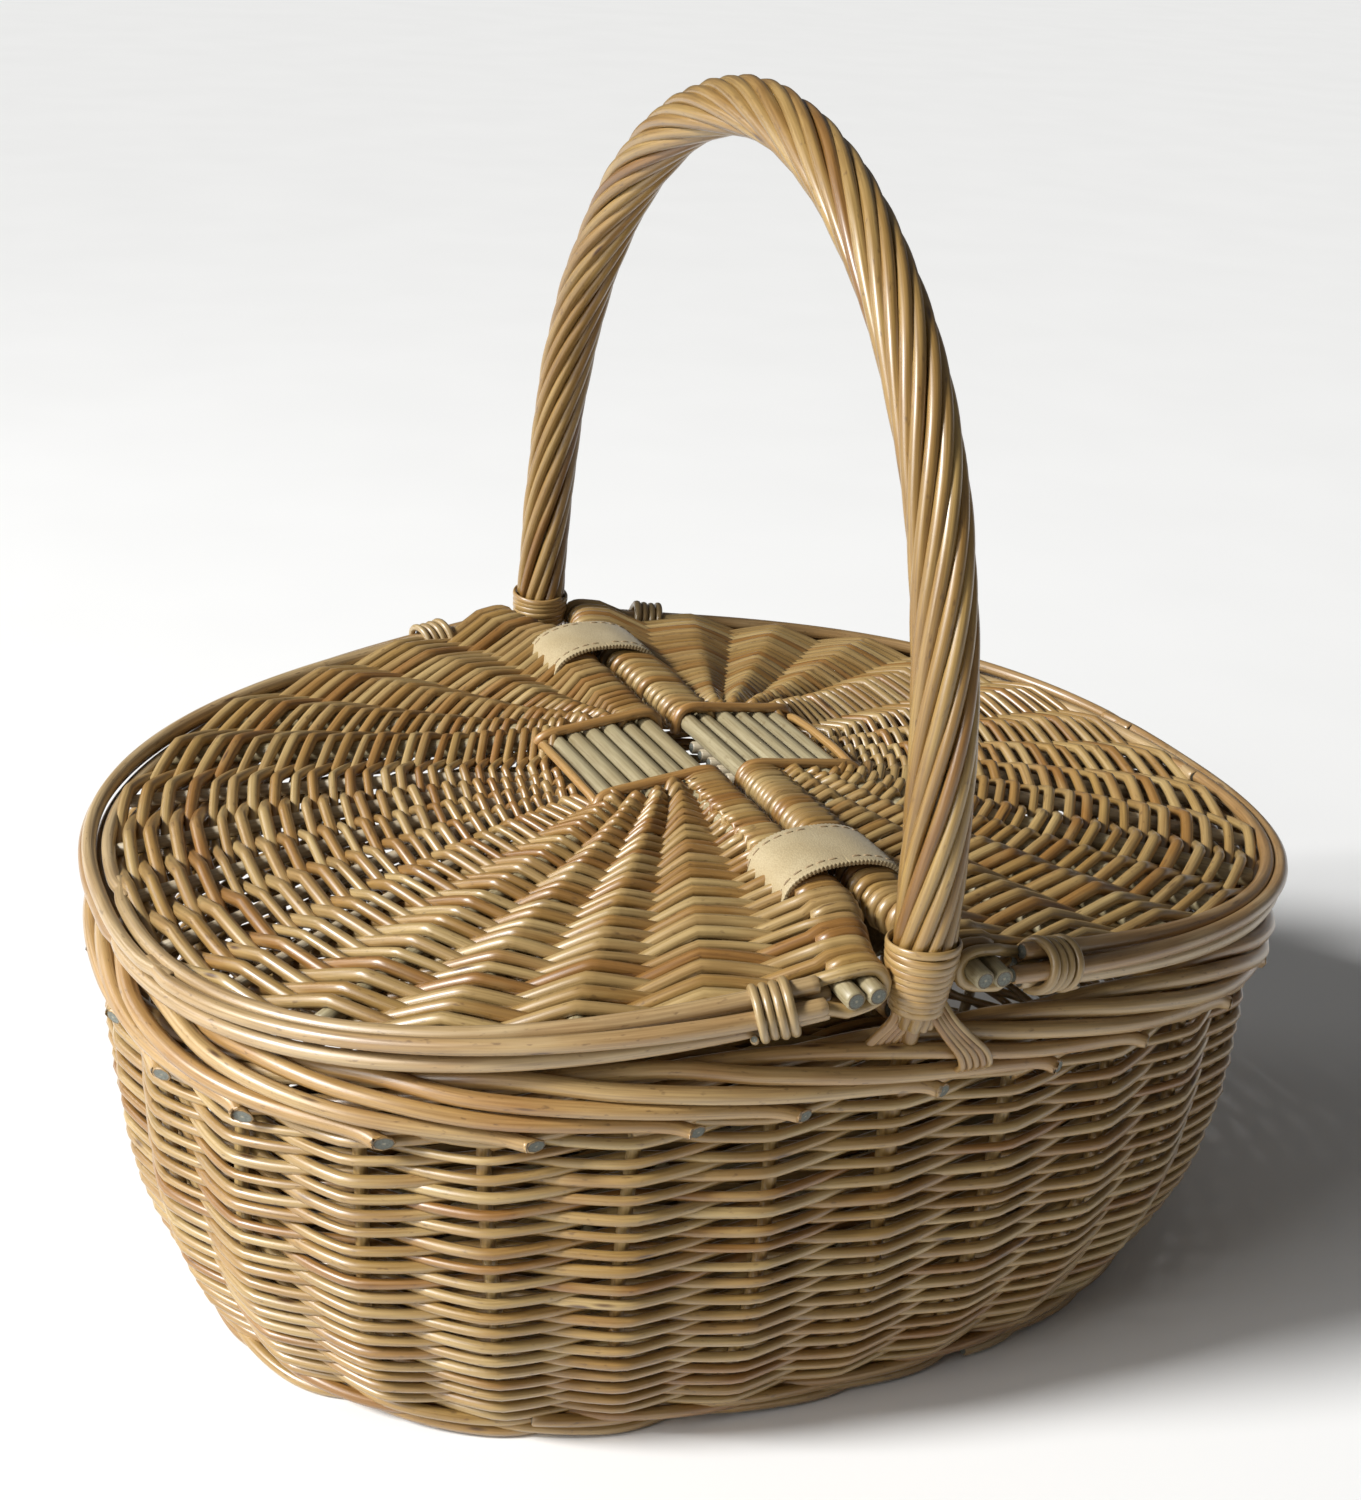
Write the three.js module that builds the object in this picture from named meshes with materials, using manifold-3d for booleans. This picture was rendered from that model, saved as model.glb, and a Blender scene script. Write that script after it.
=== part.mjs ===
// Oval willow picnic basket: a flared woven body, a fixed roped bow handle across its short axis,
// and two half-oval lids that swing up on leather loops beside the handle.
// Millimetres, +Z up, +X along the long axis, the origin on the floor under the middle.
import * as THREE from "three";
import { mergeVertices } from "three/addons/utils/BufferGeometryUtils.js";
import Module from "manifold-3d";

const wasm = await Module();
wasm.setup();

// ---- driving dimensions ----
const CLEARANCE = 0.3;
const ROD_SIDES = 6;
const SIDES = [-1, 1];

const OVAL_POWER = 2.4;
const RING_SEGMENTS = 40;
const BASE_HALF = { x: 184, y: 132.5, z: 6 };
const RIM_HALF = { x: 212, y: 164, z: 146 };
const FLARE_POWER = 3;

const WALE_TOP = 12;
const WALL_HALF_THICKNESS = 5.5;
const WALL_TOP = 146.5;
const WALL_STEPS = 4;
// The rim is highest beside the handle and drops this much to the two ends.
const RIM_DROP = 15;
const BORDER = { offset: 3, spread: 4.7, halfWidth: 4.2, height: 22 };
const BORDER_TOP = WALL_TOP + CLEARANCE + BORDER.height;

const BASE_THICKNESS = 11.5;
const BASE_STICK_Z = 5.7;
const LONG_STICK = { radius: 2.5, pitch: 26, count: 3 };
const SHORT_STICK = { radius: 4.2, pitch: 44, count: 5 };
const STICK_RUN_OUT = 4;
const STICK_SHORTFALL = 1;

const LID_HALF = { x: 225, y: 179 };
const LID_POWER = 2.41;
const LID_TILT = THREE.MathUtils.degToRad(6.9);
const LID_TOP = 7.6;
const LID_BOTTOM = -7.5;
const LID_SEGMENTS = 24;
const HINGE_X = 22;
const HINGE_Z = 186;
const INNER_EDGE = 3;
// How far a cutter reaches above and below a lid's middle.
const THROUGH = 20;
const SPLAY = { width: 10.4, start: 129.5, end: 168, steps: 4 };

const LID_BORDER = { inset: 6.4, halfWidth: 6.2, halfHeight: 6.7, z: -0.2, endX: 32 };
const EDGE_STICK = { radius: 3.2, inner: 7.7, outer: 15, end: 181, z: 3 };
const EDGE_STEPS = 18;
const SLATH = { radius: 3.25, first: 22.6, pitch: 7.2, count: 4, z: 3, earlier: 2.5, run: 0.6 };
const SLATH_STEPS = 10;
const CROSS = { radius: 2.4, pitch: 8, count: 5, z: -4.2, start: 5, bend: 12 };
const CROSS_STEPS = 5;
const RIB_GAPS = 2 * SLATH.count + CROSS.count + 1;
const RIB_START_X = 28;
const RIB_END_INSET = 4;
const WINDOW = { halfLength: 27, outerX: 49 };
const POCKET_HALF_LENGTH = 40;
const POCKET = { from: 4, to: 48.4, bottom: -0.9, top: 6.9 };
const TIE_RADIUS = 1.7;
const TIE_START_X = 4.5;
const LASHING = { x: 46, halfLength: 7, thickness: 2 };

const STRAP = { y: 107, halfWidth: 15, thickness: 1.8, archZ: 15, slotHalf: 2.2, room: 2, steps: 26 };
// One side of the strap's loop, from the bar up to the arch: [in from the hinge line, above it].
const STRAP_SIDE = [
  [13, -20.8],
  [1, -12],
  [0, -8],
  [0, 9],
  [6, 13.5],
];
const CROSS_BAR = { radius: 5, drop: 16, halfLength: 159, sides: 8 };

const HANDLE = { halfSpan: 172.8, footZ: 188, rise: 239, spanPower: 1.86, risePower: 2.67 };
const HANDLE_LEAN = THREE.MathUtils.degToRad(2.1);
const ARCH_POINTS = 20;
const BOW_RADIUS = 6;
const BOW_FOOT_Z = 171;
const BOW_STEPS = 24;
const PEG = { radius: 3.4, bottom: 96, top: 174 };
const PEG_STEPS = 6;
const ROPE = { radius: 10.5, sides: 8, footZ: 171.2 };
const BINDING = { bottom: 175, top: 202, innerRadius: 9.2, outerRadius: 12, sides: 12 };
// The legs lean in from the lids to the rim: [distance from the middle, height].
const LEG = [
  [164.9, 147],
  [167.5, 156],
  [170, 165],
  [171.8, 172],
  [172.6, 178],
  [HANDLE.halfSpan, HANDLE.footZ],
];
// Heights at which a leg follows the wall below the rim, and at which it meets the rim's line.
const LEG_IN_WALL = 118;
const LEG_AT_RIM = 142;
const FOOT_LASHING = { start: 15, end: 29, thickness: 2.5, innerDrop: 7, outerDrop: 13 };

// ---- finishes ----
const finish = (color, roughness) =>
  new THREE.MeshStandardMaterial({ color, roughness, metalness: 0 });
const WEAVE = finish(0xc9a063, 0.5);
const BORDER_WILLOW = finish(0xbd8a47, 0.45);
const ORANGE_WILLOW = finish(0xb9793a, 0.45);
const PEELED_WILLOW = finish(0xd8cd9f, 0.5);
const ROPED_WILLOW = finish(0xbf8f4e, 0.42);
const LEATHER = finish(0xd3c193, 0.75);

// ---- solids ----
function toSolid(geometry) {
  const bare = geometry.index ? geometry.toNonIndexed() : geometry.clone();
  bare.deleteAttribute("normal");
  bare.deleteAttribute("uv");
  const merged = mergeVertices(bare, 1e-3);
  return new wasm.Manifold(
    new wasm.Mesh({
      numProp: 3,
      vertProperties: merged.attributes.position.array,
      triVerts: new Uint32Array(merged.index.array),
    }),
  );
}

function toGeometry(solid) {
  const mesh = solid.getMesh();
  const geometry = new THREE.BufferGeometry();
  geometry.setAttribute("position", new THREE.BufferAttribute(mesh.vertProperties, mesh.numProp));
  geometry.setIndex(new THREE.BufferAttribute(mesh.triVerts, 1));
  return geometry;
}

// Takes the cutters away from a geometry.
function cut(geometry, cutters) {
  let solid = toSolid(geometry);
  for (const cutter of cutters) {
    solid = solid.subtract(toSolid(cutter));
  }
  return toGeometry(solid);
}

function join(geometries) {
  const [first, ...rest] = geometries.map(toSolid);
  return toGeometry(rest.reduce((whole, solid) => whole.add(solid), first));
}

function polygon(radius, sides) {
  const corners = [];
  for (let i = 0; i < sides; i++) {
    const angle = (2 * Math.PI * (i + 0.5)) / sides;
    corners.push(new THREE.Vector2(radius * Math.cos(angle), radius * Math.sin(angle)));
  }
  return corners;
}

// A rectangle with its corners cut off, x across and y along its height.
function softRectangle(halfX, halfY, corner) {
  return [
    [halfX, -halfY + corner],
    [halfX, halfY - corner],
    [halfX - corner, halfY],
    [-halfX + corner, halfY],
    [-halfX, halfY - corner],
    [-halfX, -halfY + corner],
    [-halfX + corner, -halfY],
    [halfX - corner, -halfY],
  ].map(([x, y]) => new THREE.Vector2(x, y));
}

// Sweeps a section along a path; holes makes it a sleeve.
function sweep(section, path, steps, holes = []) {
  const shape = new THREE.Shape(section);
  for (const hole of holes) {
    shape.holes.push(new THREE.Path(hole));
  }
  return new THREE.ExtrudeGeometry(shape, { steps, extrudePath: path, bevelEnabled: false });
}

const rod = (path, radius, steps) => sweep(polygon(radius, ROD_SIDES), path, steps);

function box(minimum, maximum) {
  const size = maximum.clone().sub(minimum);
  const middle = maximum.clone().add(minimum).multiplyScalar(0.5);
  return new THREE.BoxGeometry(size.x, size.y, size.z).translate(middle.x, middle.y, middle.z);
}

const point = (x, y, z) => new THREE.Vector3(x, y, z);

// A short rod that carries on past one end of a path, to leave room at the end of a hole.
function stub(path, end, radius) {
  const tip = path.getPoint(end);
  const way = path.getTangent(end).multiplyScalar(end === 0 ? -1 : 1);
  const from = tip.clone().addScaledVector(way, -1);
  const to = tip.clone().addScaledVector(way, 1);
  return rod(new THREE.LineCurve3(from, to), radius, 1);
}

// The hole that a rod along a path lies in.
function tunnel(path, radius, steps) {
  const wide = radius + CLEARANCE;
  return [rod(path, wide, steps), stub(path, 0, wide), stub(path, 1, wide)];
}

// ---- oval body ----
// The half-axes of the wall's middle surface at a height.
function wallHalf(z) {
  const span = RIM_HALF.z - BASE_HALF.z;
  const height = THREE.MathUtils.clamp((z - BASE_HALF.z) / span, 0, 1);
  const flare = 1 - (1 - height) ** FLARE_POWER;
  return {
    x: THREE.MathUtils.lerp(BASE_HALF.x, RIM_HALF.x, flare),
    y: THREE.MathUtils.lerp(BASE_HALF.y, RIM_HALF.y, flare),
  };
}

// A point of a superellipse, moved outwards along its normal.
function ovalPoint(half, power, angle, offset) {
  const cos = Math.cos(angle);
  const sin = Math.sin(angle);
  const x = half.x * Math.sign(cos) * Math.abs(cos) ** (2 / power);
  const y = half.y * Math.sign(sin) * Math.abs(sin) ** (2 / power);
  const normal = new THREE.Vector2(
    (Math.sign(x) * Math.abs(x / half.x) ** (power - 1)) / half.x,
    (Math.sign(y) * Math.abs(y / half.y) ** (power - 1)) / half.y,
  ).normalize();
  return new THREE.Vector2(x + normal.x * offset, y + normal.y * offset);
}

// How far the wall and the rim sink towards the ends of the basket.
function settle(x, z) {
  const share = THREE.MathUtils.clamp((z - WALE_TOP) / (WALL_TOP - WALE_TOP), 0, 1);
  return RIM_DROP * share * (x / RIM_HALF.x) ** 2;
}

// Turns a profile of [offset from the wall's middle, height] into an oval ring.
function ovalRing(profile) {
  const reference = 100;
  const outline = [...profile, profile[0]].map(
    ([offset, z]) => new THREE.Vector2(reference + offset, z),
  );
  const ring = new THREE.LatheGeometry(outline, RING_SEGMENTS).rotateX(Math.PI / 2);
  const position = ring.getAttribute("position");
  for (let i = 0; i < position.count; i++) {
    const x = position.getX(i);
    const y = position.getY(i);
    const z = position.getZ(i);
    const offset = Math.hypot(x, y) - reference;
    const place = ovalPoint(wallHalf(z), OVAL_POWER, Math.atan2(y, x), offset);
    position.setXYZ(i, place.x, place.y, z - settle(place.x, z));
  }
  return ring;
}

function waleProfile() {
  const proud = WALL_HALF_THICKNESS + 1;
  return [
    [proud - 2, 0],
    [proud, 3],
    [proud, WALE_TOP],
    [-WALL_HALF_THICKNESS, WALE_TOP],
    [-WALL_HALF_THICKNESS, 0],
  ];
}

function wallProfile() {
  const inner = [];
  const outer = [];
  const bottom = WALE_TOP + CLEARANCE;
  for (let i = 0; i <= WALL_STEPS; i++) {
    const z = THREE.MathUtils.lerp(bottom, WALL_TOP, i / WALL_STEPS);
    outer.push([WALL_HALF_THICKNESS, z]);
    inner.push([-WALL_HALF_THICKNESS, z]);
  }
  return [...outer, ...inner.reverse()];
}

// One of the two bundles of border rods; side is -1 inside and 1 outside.
function borderProfile(side) {
  const middle = BORDER_TOP - BORDER.height / 2;
  const across = BORDER.offset + side * BORDER.spread;
  return softRectangle(BORDER.halfWidth, BORDER.height / 2, BORDER.halfWidth / 2).map(
    ({ x, y }) => [across + x, middle + y],
  );
}

// The base plate, inside the foot ring.
function basePlate() {
  const outline = [];
  const inset = -WALL_HALF_THICKNESS - 3 * CLEARANCE;
  for (let i = 0; i < RING_SEGMENTS; i++) {
    const angle = (2 * Math.PI * i) / RING_SEGMENTS;
    outline.push(ovalPoint(BASE_HALF, OVAL_POWER, angle, inset));
  }
  return new THREE.ExtrudeGeometry(new THREE.Shape(outline), {
    depth: BASE_THICKNESS,
    bevelEnabled: false,
  });
}

// Straight sticks through the base; reach is how far each end stops short of the plate's edge.
function baseSticks(spec, along, growth, reach) {
  const sticks = [];
  const plate = { x: BASE_HALF.x - WALL_HALF_THICKNESS, y: BASE_HALF.y - WALL_HALF_THICKNESS };
  const across = along === "x" ? "y" : "x";
  for (let i = 0; i < spec.count; i++) {
    const side = (i - (spec.count - 1) / 2) * spec.pitch;
    const room = (1 - Math.abs(side / plate[across]) ** OVAL_POWER) ** (1 / OVAL_POWER);
    const half = plate[along] * room - reach;
    const start = along === "x" ? point(-half, side, BASE_STICK_Z) : point(side, -half, BASE_STICK_Z);
    const end = along === "x" ? point(half, side, BASE_STICK_Z) : point(side, half, BASE_STICK_Z);
    sticks.push(rod(new THREE.LineCurve3(start, end), spec.radius + growth, 1));
  }
  return sticks;
}

// ---- handle ----
const legBelowLids = () => [
  [wallHalf(PEG.bottom).y, PEG.bottom],
  [wallHalf(LEG_IN_WALL).y, LEG_IN_WALL],
  [RIM_HALF.y, LEG_AT_RIM],
  ...LEG,
];

// How far a leg of the bow stands from the middle at a height below the lids.
function legSpan(z) {
  const leg = legBelowLids();
  const upper = leg.findIndex(([, height], i) => i > 0 && height >= z);
  const [spanA, zA] = leg[upper - 1];
  const [spanB, zB] = leg[upper];
  return THREE.MathUtils.mapLinear(z, zA, zB, spanA, spanB);
}

// One leg's centre line between two heights below the lids; side is -1 in front and 1 behind.
function legPoints(bottom, top, side) {
  const between = legBelowLids().filter(([, z]) => z > bottom + 1 && z < top - 1);
  const whole = [[legSpan(bottom), bottom], ...between, [legSpan(top), top]];
  return whole.map(([span, z]) => point(0, side * span, z));
}

// The bow's centre line from a height on the front leg, over the top, to that height behind.
function bowPath(bottom) {
  const arch = [];
  for (let i = 1; i < ARCH_POINTS; i++) {
    const angle = (Math.PI * i) / ARCH_POINTS;
    const reach = Math.sign(Math.cos(angle)) * Math.abs(Math.cos(angle)) ** (2 / HANDLE.spanPower);
    const rise = HANDLE.rise * Math.sin(angle) ** (2 / HANDLE.risePower);
    arch.push(point(rise * Math.tan(HANDLE_LEAN), -HANDLE.halfSpan * reach, HANDLE.footZ + rise));
  }
  return new THREE.CatmullRomCurve3([
    ...legPoints(bottom, HANDLE.footZ, -1),
    ...arch,
    ...legPoints(bottom, HANDLE.footZ, 1).reverse(),
  ]);
}

const pegPath = (side) => new THREE.CatmullRomCurve3(legPoints(PEG.bottom, PEG.top, side));

function peg(side, growth) {
  return rod(pegPath(side), PEG.radius + growth, PEG_STEPS);
}

const pegHoles = () => [
  ...SIDES.map((side) => peg(side, CLEARANCE)),
  ...SIDES.map((side) => stub(pegPath(side), 0, PEG.radius + CLEARANCE)),
];

const bow = (growth) => rod(bowPath(BOW_FOOT_Z), BOW_RADIUS + growth, BOW_STEPS);

// An upright ring around one leg.
function legRing(side, inner, outer, bottom, top) {
  const profile = [
    [inner, bottom],
    [outer, bottom],
    [outer, top],
    [inner, top],
    [inner, bottom],
  ].map(([radius, z]) => new THREE.Vector2(radius, z));
  return new THREE.LatheGeometry(profile, BINDING.sides)
    .rotateX(Math.PI / 2)
    .translate(0, side * HANDLE.halfSpan, 0);
}

const binding = (side) =>
  legRing(side, BINDING.innerRadius, BINDING.outerRadius, BINDING.bottom, BINDING.top);

const bindingSeat = (side) =>
  legRing(
    side,
    BINDING.innerRadius - CLEARANCE,
    BINDING.outerRadius + CLEARANCE,
    BINDING.bottom - CLEARANCE,
    BINDING.top + CLEARANCE,
  );

function roping() {
  const strands = sweep(polygon(ROPE.radius, ROPE.sides), bowPath(ROPE.footZ), BOW_STEPS);
  const core = [bow(CLEARANCE), ...[0, 1].map((end) => stub(bowPath(BOW_FOOT_Z), end, BOW_RADIUS))];
  return cut(strands, [...core, ...SIDES.map(bindingSeat)]);
}

// The strands that tie a foot of the bow down over the border, beside the leg.
function footLashing(side) {
  const halfBorder = BORDER.spread + BORDER.halfWidth;
  const outer = RIM_HALF.y + BORDER.offset + halfBorder + 2 * CLEARANCE;
  const inner = RIM_HALF.y + BORDER.offset - halfBorder - 5 * CLEARANCE;
  const under = BORDER_TOP + 2 * CLEARANCE;
  const { thickness, outerDrop, innerDrop } = FOOT_LASHING;
  const outline = [
    [inner - thickness, under - innerDrop],
    [inner, under - innerDrop],
    [inner, under],
    [outer, under],
    [outer, under - outerDrop],
    [outer + thickness, under - outerDrop],
    [outer + thickness, under + thickness / 2],
    [outer, under + thickness],
    [inner, under + thickness],
    [inner - thickness, under + thickness / 2],
  ].map(([y, z]) => new THREE.Vector2(y, z));
  const turned = new THREE.Matrix4().makeBasis(point(0, 1, 0), point(0, 0, 1), point(1, 0, 0));
  const lashing = new THREE.ExtrudeGeometry(new THREE.Shape(outline), {
    depth: FOOT_LASHING.end - FOOT_LASHING.start,
    bevelEnabled: false,
  }).applyMatrix4(turned);
  lashing.translate(FOOT_LASHING.start, 0, 0);
  return side > 0 ? lashing : lashing.rotateZ(Math.PI);
}

// ---- hinge ----
// A leather loop around the cross bar and up through both lids.
function strap(side) {
  const low = HINGE_Z - CROSS_BAR.drop - CROSS_BAR.radius - STRAP.thickness;
  const half = STRAP_SIDE.map(([inward, rise]) => [HINGE_X - inward, HINGE_Z + rise]);
  const middle = new THREE.CatmullRomCurve3(
    [
      point(0, low, 0),
      ...half.map(([x, z]) => point(x, z, 0)),
      point(0, HINGE_Z + STRAP.archZ, 0),
      ...half.reverse().map(([x, z]) => point(-x, z, 0)),
    ],
    true,
  );
  const outer = [];
  const inner = [];
  for (let i = 0; i < STRAP.steps; i++) {
    const place = middle.getPointAt(i / STRAP.steps);
    const tangent = middle.getTangentAt(i / STRAP.steps);
    const normal = new THREE.Vector2(tangent.y, -tangent.x).multiplyScalar(STRAP.thickness / 2);
    outer.push(new THREE.Vector2(place.x + normal.x, place.y + normal.y));
    inner.push(new THREE.Vector2(place.x - normal.x, place.y - normal.y));
  }
  const shape = new THREE.Shape(outer);
  shape.holes.push(new THREE.Path(inner));
  return new THREE.ExtrudeGeometry(shape, { depth: 2 * STRAP.halfWidth, bevelEnabled: false })
    .translate(0, 0, -STRAP.halfWidth)
    .rotateX(Math.PI / 2)
    .translate(0, side * STRAP.y, 0);
}

// The bar between the bow's feet, its ends let into the inner border.
function crossBar(growth) {
  const z = HINGE_Z - CROSS_BAR.drop;
  const half = CROSS_BAR.halfLength + growth;
  const path = new THREE.LineCurve3(point(0, -half, z), point(0, half, z));
  return sweep(polygon(CROSS_BAR.radius + growth, CROSS_BAR.sides), path, 1);
}

// ---- lids ----
// How far the hinge edge stands out of the way of the handle's legs.
function splay(y) {
  return SPLAY.width * THREE.MathUtils.smoothstep(Math.abs(y), SPLAY.start, SPLAY.end);
}

// Distances along the hinge edge at which its bend is drawn, from front to back.
function splayPlaces() {
  const back = [];
  for (let i = 0; i <= SPLAY.steps; i++) {
    back.push(THREE.MathUtils.lerp(SPLAY.start, SPLAY.end, i / SPLAY.steps));
  }
  const front = back.map((y) => -y).reverse();
  return { front, back };
}

// The angle at which a lid's outline passes a distance out from the middle.
const outlineAngle = (x) => Math.acos((x / LID_HALF.x) ** (LID_POWER / 2));

// Half of the lid's outline, moved in by an inset, from the front end to the back end.
function lidOutline(inset, startX, count) {
  const last = outlineAngle(startX);
  const places = [];
  for (let i = 0; i <= count; i++) {
    const angle = THREE.MathUtils.lerp(-last, last, i / count);
    places.push(ovalPoint(LID_HALF, LID_POWER, angle, -inset));
  }
  return places;
}

// Builds one lid about its hinge line; side is -1 on the left and 1 on the right.
class Lid {
  constructor(name, side) {
    this.name = name;
    this.side = side;
    this.panelInset = LID_BORDER.inset + LID_BORDER.halfWidth + 3 * CLEARANCE;
  }

  at(x, y, z) {
    return point(this.side * (x - HINGE_X), y, z);
  }

  box(minimum, maximum) {
    const a = this.at(...minimum);
    const b = this.at(...maximum);
    return box(a.clone().min(b), a.clone().max(b));
  }

  // Where a rib ends, an equal share of the way round the outline.
  ribEnd(share, z) {
    const outline = lidOutline(this.panelInset + RIB_END_INSET, RIB_START_X, LID_SEGMENTS);
    const curve = new THREE.CatmullRomCurve3(outline.map(({ x, y }) => this.at(x, y, z)));
    return curve.getPointAt(share / RIB_GAPS);
  }

  edgeStickPath(x) {
    const { front, back } = splayPlaces();
    const places = [-EDGE_STICK.end, ...front, 0, ...back, EDGE_STICK.end];
    return new THREE.CatmullRomCurve3(places.map((y) => this.at(x + splay(y), y, EDGE_STICK.z)));
  }

  slathPath(number) {
    const x = SLATH.first + number * SLATH.pitch;
    const front = this.ribEnd(number + 1, SLATH.z);
    const back = this.ribEnd(RIB_GAPS - number - 1, SLATH.z);
    const tied = POCKET_HALF_LENGTH - number * SLATH.earlier;
    return new THREE.CatmullRomCurve3([
      front,
      front.clone().lerp(this.at(x, -tied, SLATH.z), SLATH.run),
      this.at(x, -tied, SLATH.z),
      this.at(x, 0, SLATH.z),
      this.at(x, tied, SLATH.z),
      back.clone().lerp(this.at(x, tied, SLATH.z), SLATH.run),
      back,
    ]);
  }

  crossPath(number) {
    const y = (number - (CROSS.count - 1) / 2) * CROSS.pitch;
    const end = this.ribEnd(SLATH.count + 1 + number, CROSS.z);
    const bend = this.at(WINDOW.outerX + CROSS.bend, y, CROSS.z);
    return new THREE.CatmullRomCurve3([
      this.at(CROSS.start, y, CROSS.z),
      this.at(WINDOW.outerX / 2, y, CROSS.z),
      bend,
      end.clone().lerp(bend, 0.5),
      end,
    ]);
  }

  lashingPath(end, extra) {
    const [from, to] = [-1, 1].map((way) => {
      const angle = end * outlineAngle(LASHING.x + way * (LASHING.halfLength + extra));
      const place = ovalPoint(LID_HALF, LID_POWER, angle, -LID_BORDER.inset);
      return this.at(place.x, place.y, LID_BORDER.z);
    });
    return new THREE.LineCurve3(from, to);
  }

  borderSection(growth) {
    const { halfHeight, halfWidth } = LID_BORDER;
    return softRectangle(halfHeight + growth, halfWidth + growth, halfWidth / 2);
  }

  border() {
    const outline = lidOutline(LID_BORDER.inset, LID_BORDER.endX, LID_SEGMENTS);
    const path = new THREE.CatmullRomCurve3(
      outline.map(({ x, y }) => this.at(x, y, LID_BORDER.z)),
    );
    return sweep(this.borderSection(0), path, LID_SEGMENTS);
  }

  lashing(end) {
    const clear = 2 * CLEARANCE;
    const outer = this.borderSection(clear + LASHING.thickness);
    return sweep(outer, this.lashingPath(end, 0), 1, [this.borderSection(clear)]);
  }

  lashingSeat(end) {
    const section = this.borderSection(3 * CLEARANCE + LASHING.thickness);
    return sweep(section, this.lashingPath(end, CLEARANCE), 1);
  }

  // A rod laid on top of the panel.
  tie(from, to) {
    const z = LID_TOP + CLEARANCE + TIE_RADIUS;
    return rod(new THREE.LineCurve3(this.at(...from, z), this.at(...to, z)), TIE_RADIUS, 1);
  }

  panel() {
    const { front, back } = splayPlaces();
    const inner = [...front, ...back].map((y) => new THREE.Vector2(INNER_EDGE + splay(y), y));
    const outer = lidOutline(this.panelInset, INNER_EDGE + SPLAY.width, LID_SEGMENTS);
    const outline = [...inner, ...outer.reverse()].map(
      ({ x, y }) => new THREE.Vector2(this.side * (x - HINGE_X), y),
    );
    const plate = new THREE.ExtrudeGeometry(new THREE.Shape(outline), {
      depth: LID_TOP - LID_BOTTOM,
      bevelEnabled: false,
    }).translate(0, 0, LID_BOTTOM);
    return cut(plate, [
      this.box([0, -WINDOW.halfLength, -THROUGH], [WINDOW.outerX, WINDOW.halfLength, THROUGH]),
      this.box(
        [POCKET.from, -POCKET_HALF_LENGTH, POCKET.bottom],
        [POCKET.to, POCKET_HALF_LENGTH, POCKET.top],
      ),
      ...SIDES.map((end) => this.strapSlot(end)),
      ...SIDES.map((end) => this.lashingSeat(end)),
      ...[EDGE_STICK.inner, EDGE_STICK.outer].map((x) =>
        rod(this.edgeStickPath(x), EDGE_STICK.radius + CLEARANCE, EDGE_STEPS),
      ),
      ...this.slaths().flatMap((path) => tunnel(path, SLATH.radius, SLATH_STEPS)),
      ...this.crosses().flatMap((path) => tunnel(path, CROSS.radius, CROSS_STEPS)),
    ]);
  }

  strapSlot(end) {
    const half = STRAP.halfWidth + STRAP.room;
    const middle = end * STRAP.y;
    return this.box(
      [HINGE_X - STRAP.slotHalf, middle - half, -THROUGH],
      [HINGE_X + STRAP.slotHalf, middle + half, THROUGH],
    );
  }

  slaths() {
    return Array.from({ length: SLATH.count }, (_, number) => this.slathPath(number));
  }

  crosses() {
    return Array.from({ length: CROSS.count }, (_, number) => this.crossPath(number));
  }

  build() {
    const lid = new THREE.Group();
    lid.position.set(this.side * HINGE_X, 0, HINGE_Z);
    lid.rotation.y = this.side * LID_TILT;
    const add = (piece, geometry, material) => lid.add(part(`${this.name}_${piece}`, geometry, material));
    add("panel", this.panel(), WEAVE);
    add("border", this.border(), BORDER_WILLOW);
    add("edge_stick_inner", this.edgeStick(EDGE_STICK.inner), PEELED_WILLOW);
    add("edge_stick_outer", this.edgeStick(EDGE_STICK.outer), PEELED_WILLOW);
    this.slaths().forEach((path, i) => {
      add(`slath_stick_${i + 1}`, rod(path, SLATH.radius, SLATH_STEPS), PEELED_WILLOW);
    });
    this.crosses().forEach((path, i) => {
      add(`cross_stick_${i + 1}`, rod(path, CROSS.radius, CROSS_STEPS), PEELED_WILLOW);
    });
    const tieY = WINDOW.halfLength + CLEARANCE + TIE_RADIUS;
    const reach = WINDOW.halfLength - CLEARANCE;
    const tieX = WINDOW.outerX + CLEARANCE + TIE_RADIUS;
    add("tie_front", this.tie([TIE_START_X, -tieY], [WINDOW.outerX, -tieY]), ORANGE_WILLOW);
    add("tie_back", this.tie([TIE_START_X, tieY], [WINDOW.outerX, tieY]), ORANGE_WILLOW);
    add("tie_outer", this.tie([tieX, -reach], [tieX, reach]), ORANGE_WILLOW);
    add("lashing_front", this.lashing(-1), BORDER_WILLOW);
    add("lashing_back", this.lashing(1), BORDER_WILLOW);
    return lid;
  }

  edgeStick(x) {
    return rod(this.edgeStickPath(x), EDGE_STICK.radius, EDGE_STEPS);
  }
}

// ---- assembly ----
function part(name, geometry, material) {
  const mesh = new THREE.Mesh(geometry, material.clone());
  mesh.name = name;
  return mesh;
}

const basket = new THREE.Group();
const add = (name, geometry, material) => basket.add(part(name, geometry, material));

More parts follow.
